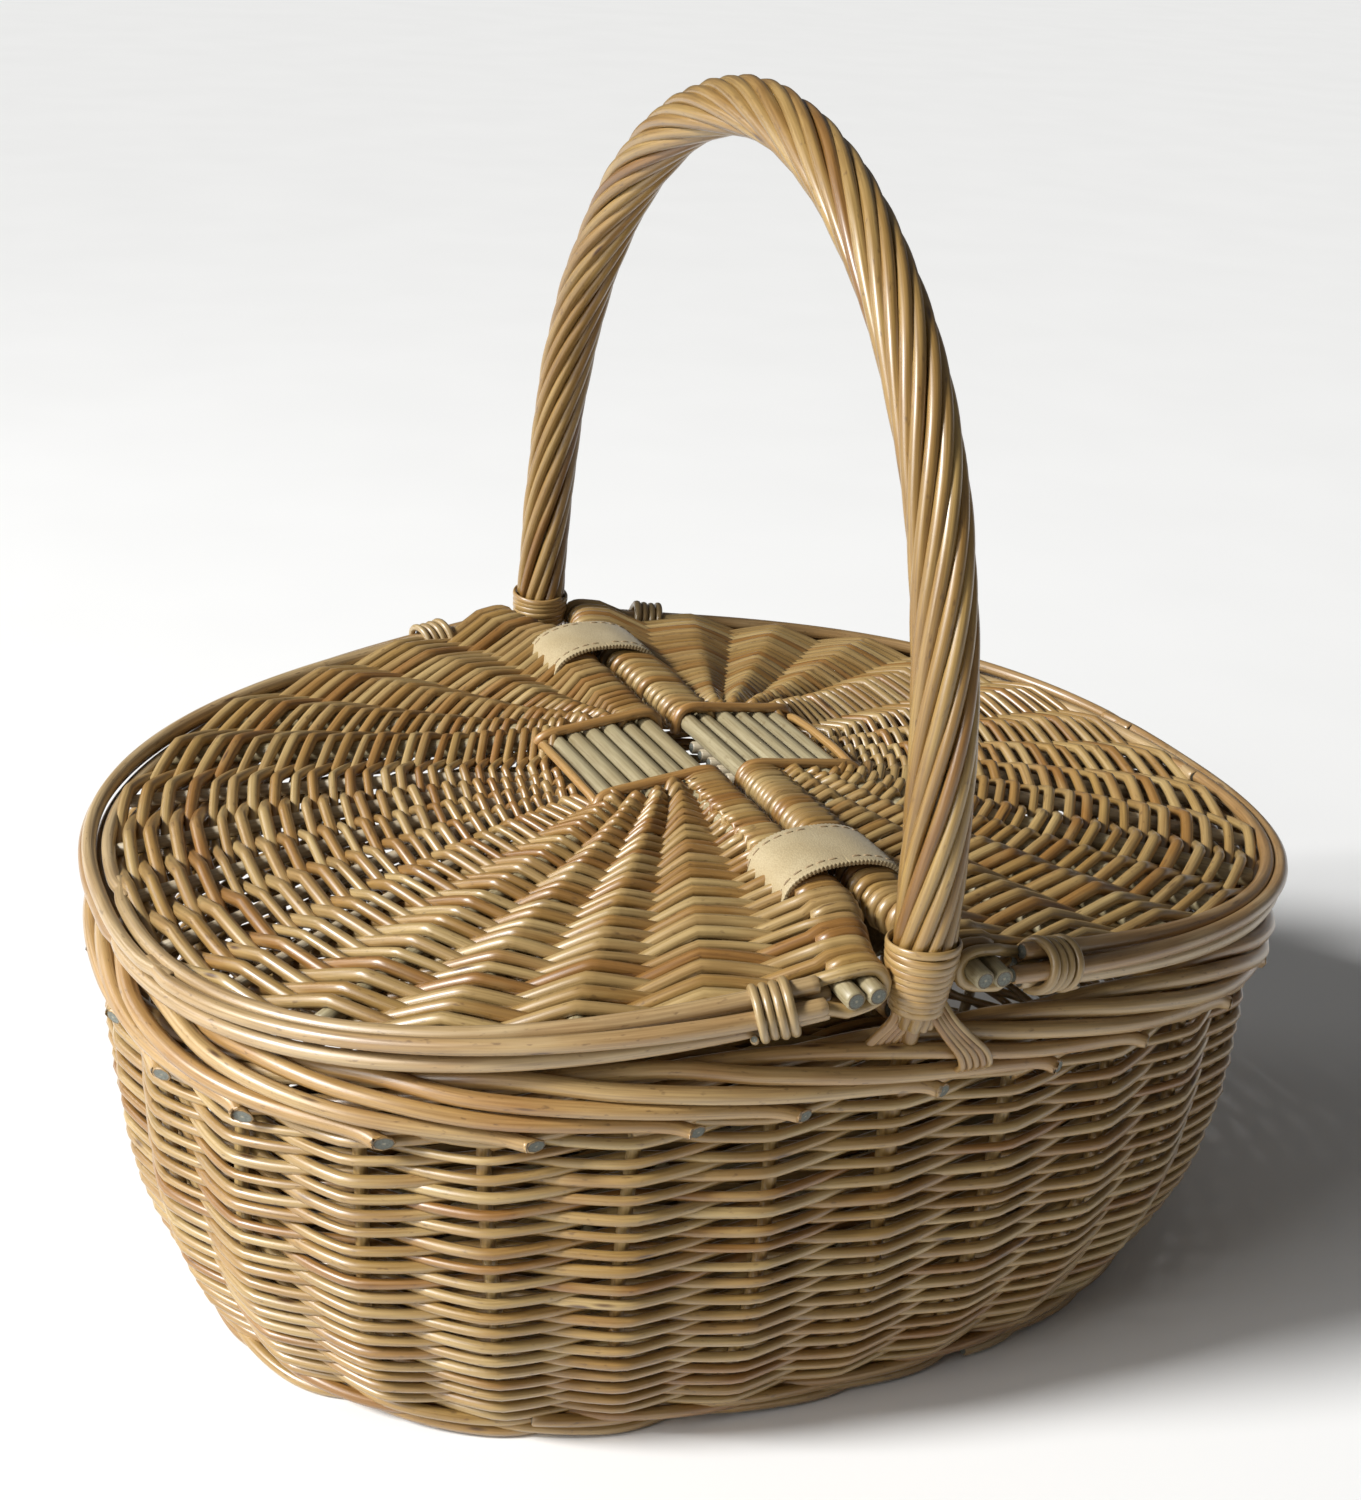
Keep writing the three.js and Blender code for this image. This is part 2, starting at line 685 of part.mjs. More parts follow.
const longHoles = baseSticks(LONG_STICK, "x", CLEARANCE, -STICK_RUN_OUT);
const shortHoles = baseSticks(SHORT_STICK, "y", CLEARANCE, -STICK_RUN_OUT);
add("base_weave", cut(basePlate(), [...longHoles, ...shortHoles]), WEAVE);
baseSticks(LONG_STICK, "x", 0, STICK_SHORTFALL).forEach((stick, i) => {
  add(`base_long_stick_${i + 1}`, stick, BORDER_WILLOW);
});
baseSticks(SHORT_STICK, "y", 0, STICK_SHORTFALL).forEach((stick, i) => {
  add(`base_short_stick_${i + 1}`, cut(stick, longHoles), BORDER_WILLOW);
});

add("foot_wale", ovalRing(waleProfile()), WEAVE);
add("side_weave", cut(ovalRing(wallProfile()), pegHoles()), WEAVE);
add("rim_border_outer", cut(ovalRing(borderProfile(1)), pegHoles()), BORDER_WILLOW);
const innerBorder = ovalRing(borderProfile(-1));
add("rim_border_inner", cut(innerBorder, [...pegHoles(), crossBar(CLEARANCE)]), BORDER_WILLOW);

add("handle_bow", join([bow(0), ...SIDES.map((side) => peg(side, 0))]), ROPED_WILLOW);
add("handle_roping", roping(), ROPED_WILLOW);
add("handle_binding_front", binding(-1), PEELED_WILLOW);
add("handle_binding_back", binding(1), PEELED_WILLOW);
add("handle_lashing_front", footLashing(-1), ROPED_WILLOW);
add("handle_lashing_back", footLashing(1), ROPED_WILLOW);
add("cross_bar", crossBar(0), BORDER_WILLOW);
add("hinge_strap_front", strap(-1), LEATHER);
add("hinge_strap_back", strap(1), LEATHER);

basket.add(new Lid("lid_left", -1).build());
basket.add(new Lid("lid_right", 1).build());

export default basket;
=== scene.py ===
"""Willow picnic basket with two hinged half lids, a roped bow handle and leather hinge straps."""
import logging
import math
from dataclasses import dataclass, field
from enum import Enum

import bpy
import numpy as np
from mathutils import Matrix, Vector


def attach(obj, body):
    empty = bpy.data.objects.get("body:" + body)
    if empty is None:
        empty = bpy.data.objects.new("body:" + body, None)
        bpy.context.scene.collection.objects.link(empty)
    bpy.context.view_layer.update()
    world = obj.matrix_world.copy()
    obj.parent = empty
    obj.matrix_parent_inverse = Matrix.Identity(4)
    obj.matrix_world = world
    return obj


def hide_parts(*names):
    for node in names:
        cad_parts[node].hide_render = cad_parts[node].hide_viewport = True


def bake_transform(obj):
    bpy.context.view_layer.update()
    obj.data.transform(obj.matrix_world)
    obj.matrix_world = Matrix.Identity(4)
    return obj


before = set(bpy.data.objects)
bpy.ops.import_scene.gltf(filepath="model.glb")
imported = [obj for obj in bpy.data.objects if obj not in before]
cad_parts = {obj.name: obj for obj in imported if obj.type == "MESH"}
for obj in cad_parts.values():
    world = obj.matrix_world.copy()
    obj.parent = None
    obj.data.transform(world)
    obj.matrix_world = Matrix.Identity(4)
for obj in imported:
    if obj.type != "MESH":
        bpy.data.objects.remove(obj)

MM = 0.001
FULL_TURN = 2 * math.pi
STRAP_Y = 107.0  # distance of each hinge strap's middle from the basket's middle, in millimetres
BEVEL = 0.25  # length of the chamfer at a cut end, in radii
LOG = logging.getLogger("basket")
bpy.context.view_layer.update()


class Slot(Enum):
    """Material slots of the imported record."""

    WOVEN = "woven_willow"
    BORDER = "border_willow"
    PEELED = "peeled_willow"
    TIE = "tie_willow"
    HANDLE = "handle_willow"
    LEATHER = "leather"


class Side(Enum):
    """Which half of the basket a lid or half strap belongs to."""

    LEFT = -1
    RIGHT = 1

    @property
    def body(self) -> str:
        """Name of the lid body on this side."""
        return "lid_left" if self is Side.LEFT else "lid_right"


# ---------------------------------------------------------------- shape helpers

def smoothstep(low: float, high: float, value: np.ndarray) -> np.ndarray:
    """Ease from 0 at low to 1 at high.

    Args:
        low: value where the ease starts.
        high: value where it ends.
        value: numbers to ease.

    Returns:
        Numbers from 0 to 1.
    """
    share = np.clip((np.asarray(value, dtype=float) - low) / (high - low), 0, 1)
    return share * share * (3 - 2 * share)


def oval(half: tuple, power: float, angle: np.ndarray, offset: np.ndarray) -> tuple:
    """Points on a rounded oval, moved outward along its normal.

    Args:
        half: half length and half width, numbers or arrays, in millimetres.
        power: 2 is an ellipse, more is squarer.
        angle: parameter round the oval, in radians.
        offset: distance outward in millimetres.

    Returns:
        The x and y arrays.
    """
    cosine, sine = np.cos(angle), np.sin(angle)
    x = half[0] * np.sign(cosine) * np.abs(cosine) ** (2 / power)
    y = half[1] * np.sign(sine) * np.abs(sine) ** (2 / power)
    slope_x = np.sign(x) * np.abs(x / half[0]) ** (power - 1) / half[0]
    slope_y = np.sign(y) * np.abs(y / half[1]) ** (power - 1) / half[1]
    length = np.hypot(slope_x, slope_y)
    return x + offset * slope_x / length, y + offset * slope_y / length


def along(points: np.ndarray) -> np.ndarray:
    """Distance along a line of points, from its start."""
    steps = np.linalg.norm(np.diff(points, axis=0), axis=1)
    return np.concatenate(([0.0], np.cumsum(steps)))


def resample(points: np.ndarray, count: int) -> np.ndarray:
    """Spread points evenly along a line.

    Args:
        points: (n, 3) line.
        count: number of points wanted.

    Returns:
        (count, 3) points at equal distances.
    """
    distance = along(points)
    wanted = np.linspace(0, distance[-1], count)
    return np.stack([np.interp(wanted, distance, points[:, i]) for i in range(points.shape[1])], axis=1)


def smooth_line(knots: np.ndarray, per_span: int) -> np.ndarray:
    """Catmull-Rom line through knots.

    Args:
        knots: (n, d) points it passes through.
        per_span: points from one knot to the next.

    Returns:
        ((n - 1) * per_span + 1, d) points.
    """
    knots = np.asarray(knots, dtype=float)
    first = 2 * knots[0] - knots[1]
    last = 2 * knots[-1] - knots[-2]
    padded = np.vstack([first, knots, last])
    t = np.linspace(0, 1, per_span, endpoint=False)[:, None]
    spans = []
    for a, b, c, d in zip(padded, padded[1:], padded[2:], padded[3:]):
        spans.append(0.5 * (2 * b + (c - a) * t + (2 * a - 5 * b + 4 * c - d) * t ** 2
                            + (3 * b - a - 3 * c + d) * t ** 3))
    spans.append(knots[-1:])
    return np.vstack(spans)


# ---------------------------------------------------------------- rods

@dataclass
class Rod:
    """One willow rod or skein: a line with a thickness and a tint of its own."""

    line: np.ndarray
    radius: np.ndarray | float
    tint: float
    facing: np.ndarray | None = None
    flatness: float = 1.0
    cut_towards: np.ndarray | None = None


@dataclass
class RodBundle:
    """Rods that make one piece, each a tapered tube with chamfered cut ends."""

    name: str
    sides: int = 8
    rods: list[Rod] = field(default_factory=list)
    chamfer: float = 0.8

    def add(self, rod: Rod) -> None:
        """Put one more rod in the bundle."""
        self.rods.append(rod)

    def frames(self, rod: Rod) -> tuple:
        """Two directions square to the rod at each of its points.

        Args:
            rod: the rod to frame.

        Returns:
            The outward and the sideways direction arrays.
        """
        tangent = np.gradient(rod.line, axis=0)
        tangent /= np.linalg.norm(tangent, axis=1)[:, None]
        if rod.facing is not None:
            outward = np.broadcast_to(rod.facing, rod.line.shape)
            outward = outward - tangent * np.sum(outward * tangent, axis=1)[:, None]
        else:
            outward = self.carried(tangent)
        outward = outward / np.linalg.norm(outward, axis=1)[:, None]
        return outward, np.cross(tangent, outward)

    def carried(self, tangent: np.ndarray) -> np.ndarray:
        """A direction carried along the rod without twisting.

        Args:
            tangent: unit directions of the rod.

        Returns:
            One direction for each point.
        """
        start = np.eye(3)[int(np.argmin(np.abs(tangent[0])))]
        carried = np.empty_like(tangent)
        for i, direction in enumerate(tangent):
            start = start - direction * start.dot(direction)
            start = start / math.sqrt(start.dot(start))
            carried[i] = start
        return carried

    def rings(self, rod: Rod, offset: float) -> tuple:
        """Corner points of one rod.

        Args:
            rod: the rod.
            offset: where this rod's own grain starts, in metres.

        Returns:
            Points, grain positions and the two texture coordinates, each (rings, sides, ...).
        """
        outward, sideways = self.frames(rod)
        radius = np.broadcast_to(np.asarray(rod.radius, dtype=float), (len(rod.line),)).copy()
        line = rod.line.copy()
        line = np.vstack([line[:1], line, line[-1:]])
        radius = np.concatenate((radius[:1] * self.chamfer, radius, radius[-1:] * self.chamfer))
        line[0] += (line[0] - line[2]) / np.linalg.norm(line[0] - line[2]) * radius[0] * BEVEL
        line[-1] += (line[-1] - line[-3]) / np.linalg.norm(line[-1] - line[-3]) * radius[-1] * BEVEL
        outward = np.vstack([outward[:1], outward, outward[-1:]])
        sideways = np.vstack([sideways[:1], sideways, sideways[-1:]])
        turn = np.arange(self.sides) * FULL_TURN / self.sides
        across = (radius * rod.flatness)[:, None] * np.cos(turn)
        beside = radius[:, None] * np.sin(turn)
        points = (line[:, None] + across[..., None] * outward[:, None]
                  + beside[..., None] * sideways[:, None])
        if rod.cut_towards is not None:
            ahead = (line[-1] - line[-3]) / np.linalg.norm(line[-1] - line[-3])
            for ring in (-2, -1):
                back = (points[ring] - line[ring]) @ rod.cut_towards
                points[ring] -= ahead * back[:, None]
        distance = np.broadcast_to(along(line)[:, None], across.shape)
        grain = np.stack([across * MM, beside * MM, distance * MM + offset], axis=-1)
        return points * MM, grain, distance * MM + offset, turn / FULL_TURN

    def build(self, finish: "Willow", cut: "CutEnd") -> bpy.types.Object:
        """Make the mesh object with its finish on the bark and another on the cut ends.

        Args:
            finish: look of the rods.
            cut: look of the end grain.

        Returns:
            The new object, at the origin.
        """
        rng = np.random.default_rng(len(self.rods) + len(self.name))
        points, grains, uvs, corners, starts, materials, tints = [], [], [], [], [], [], []
        first, loops = 0, 0
        sides = self.sides
        step = np.arange(sides)
        turns = step * FULL_TURN / sides
        disc = np.stack([np.cos(turns), np.sin(turns)], axis=1) / 2 + 0.5
        for rod in self.rods:
            offset = float(rng.uniform(0, 30))
            ring, grain, distance, turn = self.rings(rod, offset)
            count = ring.shape[0]
            points.append(ring.reshape(-1, 3))
            grains.append(grain.reshape(-1, 3))
            tints.append(np.full(count * sides, rod.tint))
            a = first + np.arange(count - 1)[:, None] * sides + step
            b = first + np.arange(count - 1)[:, None] * sides + (step + 1) % sides
            quads = np.stack([a, b, b + sides, a + sides], axis=-1).reshape(-1, 4)
            low, high = distance[:-1], distance[1:]
            left = np.broadcast_to(turn, low.shape)
            right = left + 1 / sides
            uv = np.stack([np.stack([left, low], -1), np.stack([right, low], -1),
                           np.stack([right, high], -1), np.stack([left, high], -1)], axis=-2)
            corners.append(quads.reshape(-1))
            uvs.append(uv.reshape(-1, 2))
            starts.append(loops + np.arange(len(quads)) * 4)
            loops += quads.size
            materials.append(np.zeros(len(quads), dtype=np.int32))
            last = first + (count - 1) * sides
            corners.extend([first + step[::-1], last + step])
            uvs.extend([disc[::-1], disc])
            starts.append(np.array([loops, loops + sides]))
            loops += 2 * sides
            materials.append(np.ones(2, dtype=np.int32))
            first += count * sides
        mesh = bpy.data.meshes.new(self.name)
        mesh.vertices.add(first)
        mesh.vertices.foreach_set("co", np.concatenate(points).ravel())
        mesh.loops.add(loops)
        mesh.loops.foreach_set("vertex_index", np.concatenate(corners).astype(np.int32))
        start = np.concatenate(starts).astype(np.int32)
        mesh.polygons.add(len(start))
        mesh.polygons.foreach_set("loop_start", start)
        material = np.concatenate(materials)
        mesh.materials.append(finish.material())
        mesh.materials.append(cut.material())
        mesh.polygons.foreach_set("material_index", material)
        mesh.polygons.foreach_set("use_smooth", material == 0)
        mesh.update(calc_edges=True)
        mesh.uv_layers.new(name="rod").uv.foreach_set("vector", np.concatenate(uvs).ravel())
        mesh.attributes.new("tint", "FLOAT", "POINT").data.foreach_set("value", np.concatenate(tints))
        mesh.attributes.new("grain", "FLOAT_VECTOR", "POINT").data.foreach_set(
            "vector", np.concatenate(grains).ravel())
        piece = bpy.data.objects.new(self.name, mesh)
        bpy.context.scene.collection.objects.link(piece)
        return piece


def place(piece: bpy.types.Object, body: str, slot: Slot, *nodes: str) -> None:
    """Let a piece ride on a body and stand for CAD nodes.

    Args:
        piece: the finished piece.
        body: CAD body it moves with.
        slot: material slot of the record; not used.
        nodes: CAD nodes it stands for.
    """
    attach(piece, body)
    if nodes:
        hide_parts(*nodes)
    triangles = sum(len(p.vertices) - 2 for p in piece.data.polygons)
    LOG.info("%s: %d triangles, rides on %s", piece.name, triangles, body)


# ---------------------------------------------------------------- finishes

class NodePad:
    """A material's node tree with short ways to add and join nodes."""

    def __init__(self, name: str) -> None:
        """Start an empty material with a surface shader.

        Args:
            name: name of the material.
        """
        self.made = bpy.data.materials.new(name)
        self.made.use_nodes = True
        self.tree = self.made.node_tree
        self.tree.nodes.clear()
        self.shader = self.tree.nodes.new("ShaderNodeBsdfPrincipled")
        output = self.tree.nodes.new("ShaderNodeOutputMaterial")
        self.tree.links.new(self.shader.outputs["BSDF"], output.inputs["Surface"])

    def join(self, source: bpy.types.NodeSocket, target: bpy.types.NodeSocket) -> None:
        """Link one socket to another."""
        self.tree.links.new(source, target)

    def attribute(self, name: str, output: str) -> bpy.types.NodeSocket:
        """Read a mesh attribute by name."""
        node = self.tree.nodes.new("ShaderNodeAttribute")
        node.attribute_name = name
        return node.outputs[output]

    def scaled(self, vector: bpy.types.NodeSocket, scale: tuple) -> bpy.types.NodeSocket:
        """Stretch a vector.

        Args:
            vector: the vector socket.
            scale: factors for its three parts.

        Returns:
            The stretched vector.
        """
        node = self.tree.nodes.new("ShaderNodeMapping")
        self.join(vector, node.inputs["Vector"])
        node.inputs["Scale"].default_value = scale
        return node.outputs["Vector"]

    def noise(self, vector: bpy.types.NodeSocket, scale: float, detail: float) -> bpy.types.NodeSocket:
        """Soft noise.

        Args:
            vector: where to look it up.
            scale: its fineness.
            detail: octaves.

        Returns:
            The noise value.
        """
        node = self.tree.nodes.new("ShaderNodeTexNoise")
        self.join(vector, node.inputs["Vector"])
        node.inputs["Scale"].default_value = scale
        node.inputs["Detail"].default_value = detail
        return node.outputs["Fac"]

    def cells(self, vector: bpy.types.NodeSocket, scale: float) -> bpy.types.NodeSocket:
        """Distance to the nearest of scattered points."""
        node = self.tree.nodes.new("ShaderNodeTexVoronoi")
        self.join(vector, node.inputs["Vector"])
        node.inputs["Scale"].default_value = scale
        return node.outputs["Distance"]

    def ramp(self, value: bpy.types.NodeSocket, stops: list) -> bpy.types.NodeSocket:
        """Colours along a value.

        Args:
            value: the driving value.
            stops: (position, (red, green, blue)) pairs.

        Returns:
            The colour.
        """
        node = self.tree.nodes.new("ShaderNodeValToRGB")
        elements = node.color_ramp.elements
        while len(elements) < len(stops):
            elements.new(1.0)
        for element, (position, colour) in zip(elements, stops):
            element.position = position
            element.color = (*colour, 1.0)
        self.join(value, node.inputs["Fac"])
        return node.outputs["Color"]

    def fit(self, value: bpy.types.NodeSocket, source: tuple, target: tuple) -> bpy.types.NodeSocket:
        """Map one range of values onto another, clamped.

        Args:
            value: the value.
            source: lowest and highest value read.
            target: what they become.

        Returns:
            The mapped value.
        """
        node = self.tree.nodes.new("ShaderNodeMapRange")
        self.join(value, node.inputs["Value"])
        node.inputs["From Min"].default_value, node.inputs["From Max"].default_value = source
        node.inputs["To Min"].default_value, node.inputs["To Max"].default_value = target
        return node.outputs["Result"]

    def mix(self, kind: str, share: object, first: object, second: object) -> bpy.types.NodeSocket:
        """Mix two colours.

        Args:
            kind: blend type such as MIX or MULTIPLY.
            share: factor, a number or a socket.
            first: colour or socket below.
            second: colour or socket above.

        Returns:
            The mixed colour.
        """
        node = self.tree.nodes.new("ShaderNodeMix")
        node.data_type = "RGBA"
        node.blend_type = kind
        sockets = (node.inputs[0], node.inputs[6], node.inputs[7])
        for socket, value in zip(sockets, (share, first, second)):
            if isinstance(value, bpy.types.NodeSocket):
                self.join(value, socket)
            elif isinstance(value, tuple):
                socket.default_value = (*value, 1.0)
            else:
                socket.default_value = value
        return node.outputs[2]

    def bump(self, height: bpy.types.NodeSocket, strength: float, distance: float) -> None:
        """Raise the surface by a height.

        Args:
            height: the height value.
            strength: how much of it shows.
            distance: metres for a height of 1.
        """
        node = self.tree.nodes.new("ShaderNodeBump")
        node.inputs["Strength"].default_value = strength
        node.inputs["Distance"].default_value = distance
        self.join(height, node.inputs["Height"])
        self.join(node.outputs["Normal"], self.shader.inputs["Normal"])

    def gloss(self, coat: float, coat_roughness: float, sheen: float = 0.0) -> None:
        """Set the constant gloss of the shader.

        Args:
            coat: weight of the varnish.
            coat_roughness: its roughness.
            sheen: weight of the soft edge sheen.
        """
        self.shader.inputs["Coat Weight"].default_value = coat
        self.shader.inputs["Coat Roughness"].default_value = coat_roughness
        self.shader.inputs["Sheen Weight"].default_value = sheen


@dataclass(frozen=True)
class Willow:
    """Varnished willow bark side: tint by rod, long streaks, knots and scuffs."""

    name: str
    deep: tuple
    warm: tuple
    buff: tuple
    pale: tuple
    knots: float = 1.0
    coat: float = 0.85
    coat_roughness: float = 0.32
    roughness: tuple = (0.34, 0.52)

    def material(self) -> bpy.types.Material:
        """The material, made once and shared."""
        known = bpy.data.materials.get(self.name)
        if known:
            return known
        pad = NodePad(self.name)
        grain = pad.attribute("grain", "Vector")
        tint = pad.attribute("tint", "Fac")
        body = pad.ramp(tint, [(0.0, self.warm), (0.35, self.buff), (0.75, self.pale), (1.0, self.buff)])
        patches = pad.noise(pad.scaled(grain, (60, 60, 14)), 1.0, 3.0)
        body = pad.mix("MIX", pad.fit(patches, (0.42, 0.72), (0.0, 0.8)), body, self.warm)
        pale_patches = pad.noise(pad.scaled(grain, (90, 90, 31)), 1.0, 2.0)
        body = pad.mix("MIX", pad.fit(pale_patches, (0.52, 0.75), (0.0, 0.6)), body, self.pale)
        streaks = pad.noise(pad.scaled(grain, (1300, 1300, 38)), 1.0, 4.0)
        shades = [(0.3, (0.72, 0.68, 0.62)), (0.62, (1.06, 1.06, 1.05))]
        body = pad.mix("MULTIPLY", 1.0, body, pad.ramp(streaks, shades))
        spots = pad.cells(pad.scaled(grain, (130, 130, 24)), 1.0)
        knot = pad.fit(spots, (0.05, 0.12), (self.knots, 0.0))
        body = pad.mix("MIX", knot, body, self.deep)
        flecks = pad.noise(pad.scaled(grain, (700, 700, 260)), 1.0, 2.0)
        body = pad.mix("MIX", pad.fit(flecks, (0.64, 0.74), (0.0, 0.55)), body, self.deep)
        pad.join(body, pad.shader.inputs["Base Color"])
        pad.join(pad.fit(streaks, (0.3, 0.7), self.roughness), pad.shader.inputs["Roughness"])
        pad.bump(streaks, 0.35, 0.0004)
        pad.gloss(self.coat, self.coat_roughness)
        return pad.made


@dataclass(frozen=True)
class CutEnd:
    """Weathered end grain: grey wood, darker bark ring and a pale pith."""

    name: str = "cut_end"
    bark: tuple = (0.16, 0.12, 0.075)
    wood: tuple = (0.175, 0.185, 0.16)
    pith: tuple = (0.42, 0.38, 0.28)

    def material(self) -> bpy.types.Material:
        """The material, made once and shared."""
        known = bpy.data.materials.get(self.name)
        if known:
            return known
        pad = NodePad(self.name)
        coordinates = pad.tree.nodes.new("ShaderNodeUVMap")
        coordinates.uv_map = "rod"
        middle = pad.tree.nodes.new("ShaderNodeVectorMath")
        middle.operation = "DISTANCE"
        middle.inputs[1].default_value = (0.5, 0.5, 0.0)
        pad.join(coordinates.outputs["UV"], middle.inputs[0])
        stops = [(0.0, self.pith), (0.12, self.wood), (0.38, self.wood), (0.46, self.bark)]
        rings = pad.ramp(middle.outputs["Value"], stops)
        grain = pad.noise(pad.scaled(pad.attribute("grain", "Vector"), (1800, 1800, 1800)), 1.0, 3.0)
        shades = [(0.3, (0.6, 0.58, 0.55)), (0.7, (1.2, 1.2, 1.2))]
        body = pad.mix("MULTIPLY", 0.8, rings, pad.ramp(grain, shades))
        pad.join(body, pad.shader.inputs["Base Color"])
        pad.join(pad.fit(grain, (0.3, 0.7), (0.7, 0.9)), pad.shader.inputs["Roughness"])
        pad.bump(grain, 0.5, 0.0003)
        return pad.made


@dataclass(frozen=True)
class Leather:
    """Pale full-grain leather with fine pores and rubbed places."""

    name: str = "strap_leather"
    body: tuple = (0.40, 0.315, 0.172)
    rubbed: tuple = (0.47, 0.385, 0.228)
    pores: tuple = (0.30, 0.22, 0.12)

    def material(self) -> bpy.types.Material:
        """The material, made once and shared."""
        known = bpy.data.materials.get(self.name)
        if known:
            return known
        pad = NodePad(self.name)
        place_on = pad.tree.nodes.new("ShaderNodeTexCoord").outputs["Object"]
        cloud = pad.noise(place_on, 70.0, 4.0)
        body = pad.mix("MIX", pad.fit(cloud, (0.35, 0.7), (0.0, 0.9)), self.body, self.rubbed)
        pebbles = pad.cells(place_on, 1500.0)
        body = pad.mix("MIX", pad.fit(pebbles, (0.35, 0.75), (0.0, 0.35)), body, self.pores)
        fine = pad.noise(place_on, 900.0, 3.0)
        pad.join(body, pad.shader.inputs["Base Color"])
        pad.join(pad.fit(fine, (0.3, 0.7), (0.5, 0.68)), pad.shader.inputs["Roughness"])
        height = pad.mix("MIX", 0.35, pad.ramp(pebbles, [(0.0, (1, 1, 1)), (0.8, (0, 0, 0))]), fine)
        pad.bump(height, 0.3, 0.0004)
        pad.gloss(0.08, 0.45, 0.1)
        return pad.made


@dataclass(frozen=True)
class Thread:
    """Waxed sewing thread with a twisted surface."""

    name: str = "strap_thread"
    light: tuple = (0.40, 0.29, 0.16)
    dark: tuple = (0.20, 0.13, 0.07)

    def material(self) -> bpy.types.Material:
        """The material, made once and shared."""
        known = bpy.data.materials.get(self.name)
        if known:
            return known
        pad = NodePad(self.name)
        grain = pad.attribute("grain", "Vector")
        twist = pad.noise(pad.scaled(grain, (2500, 2500, 1200)), 1.0, 2.0)
        pad.join(pad.ramp(twist, [(0.3, self.dark), (0.65, self.light)]), pad.shader.inputs["Base Color"])
        pad.join(pad.fit(twist, (0.3, 0.7), (0.6, 0.8)), pad.shader.inputs["Roughness"])
        pad.bump(twist, 0.4, 0.0002)
        return pad.made


WOVEN = Willow(
    "woven_rods",
    deep=(0.09, 0.042, 0.014),
    warm=(0.26, 0.122, 0.027),
    buff=(0.33, 0.200, 0.058),
    pale=(0.42, 0.298, 0.125),
)
BORDER = Willow(
    "border_rods",
    deep=(0.09, 0.042, 0.014),
    warm=(0.30, 0.140, 0.036),
    buff=(0.38, 0.220, 0.070),
    pale=(0.46, 0.315, 0.135),
)
LID_BORDER = Willow(
    "lid_border_rods",
    deep=(0.10, 0.050, 0.020),
    warm=(0.30, 0.165, 0.058),
    buff=(0.39, 0.260, 0.115),
    pale=(0.47, 0.350, 0.190),
)
HANDLE = Willow(
    "handle_rods",
    deep=(0.09, 0.042, 0.014),
    warm=(0.20, 0.094, 0.018),
    buff=(0.270, 0.153, 0.038),
    pale=(0.345, 0.226, 0.074),
)
PEELED = Willow(
    "peeled_sticks",
    deep=(0.18, 0.13, 0.06),
    warm=(0.27, 0.215, 0.115),
    buff=(0.32, 0.268, 0.155),
    pale=(0.37, 0.32, 0.195),
    knots=0.3,
    coat=0.2,
)
# Paler copy of the peeled finish for the cross sticks: painted light that lifts ribs lying in the shade of
# the rows over them.
PEELED_RIBS_PAINTED_LIGHT = Willow(
    "peeled_ribs_painted_light",
    deep=(0.20, 0.15, 0.08),
    warm=(0.42, 0.345, 0.235),
    buff=(0.48, 0.415, 0.295),
    pale=(0.54, 0.480, 0.360),
    knots=0.3,
    coat=0.2,
)
TIES = Willow(
    "tie_rods",
    deep=(0.09, 0.042, 0.012),
    warm=(0.33, 0.155, 0.038),
    buff=(0.37, 0.20, 0.058),
    pale=(0.40, 0.24, 0.08),
)
PALE_TIES = Willow(
    "lashing_rods",
    deep=(0.14, 0.075, 0.03),
    warm=(0.29, 0.170, 0.055),
    buff=(0.35, 0.235, 0.095),
    pale=(0.41, 0.305, 0.150),
    knots=0.5,
)
BINDING = Willow(
    "binding_skein",
    deep=(0.15, 0.075, 0.025),
    warm=(0.30, 0.162, 0.044),
    buff=(0.35, 0.215, 0.070),
    pale=(0.40, 0.270, 0.105),
    knots=0.4,
)
CUT = CutEnd()


# ---------------------------------------------------------------- basket body

@dataclass
class WallShape:
    """The curve of the basket wall, from the foot up to the rim."""

    power: float = 2.4
    base_half: tuple = (184.0, 132.5)
    rim_half: tuple = (212.0, 164.0)
    base_z: float = 6.0
    rim_z: float = 146.0
    flare: float = 3.0
    wale_top: float = 12.0
    wall_top: float = 146.5
    rim_drop: float = 15.0
    stakes: int = 28

    def __post_init__(self) -> None:
        """Measure the way round the wall at mid height."""
        angle = np.linspace(0, FULL_TURN, 2001)
        x, y = oval(self.half(80.0), self.power, angle, 0.0)
        distance = along(np.stack([x, y], axis=1))
        self._angle = angle
        self._share = distance / distance[-1]

    def half(self, z: float) -> tuple:
        """Half length and half width of the wall at a height."""
        rise = np.clip((z - self.base_z) / (self.rim_z - self.base_z), 0, 1)
        flare = 1 - (1 - rise) ** self.flare
        return tuple(low + (high - low) * flare for low, high in zip(self.base_half, self.rim_half))

    def point(self, stake: np.ndarray, z: np.ndarray, offset: np.ndarray) -> np.ndarray:
        """Points on the wall.

        Args:
            stake: place round the wall, counted in stakes.
            z: height before the rim's saddle curve is applied.
            offset: distance outward from the middle of the wall.

        Returns:
            (n, 3) points in millimetres.
        """
        share = np.mod(np.asarray(stake, dtype=float) / self.stakes, 1.0)
        angle = np.interp(share, self._share, self._angle)
        x, y = oval(self.half(z), self.power, angle, offset)
        risen = np.clip((z - self.wale_top) / (self.wall_top - self.wale_top), 0, 1)
        return np.stack([x, y, z - self.rim_drop * risen * (x / self.rim_half[0]) ** 2], axis=1)


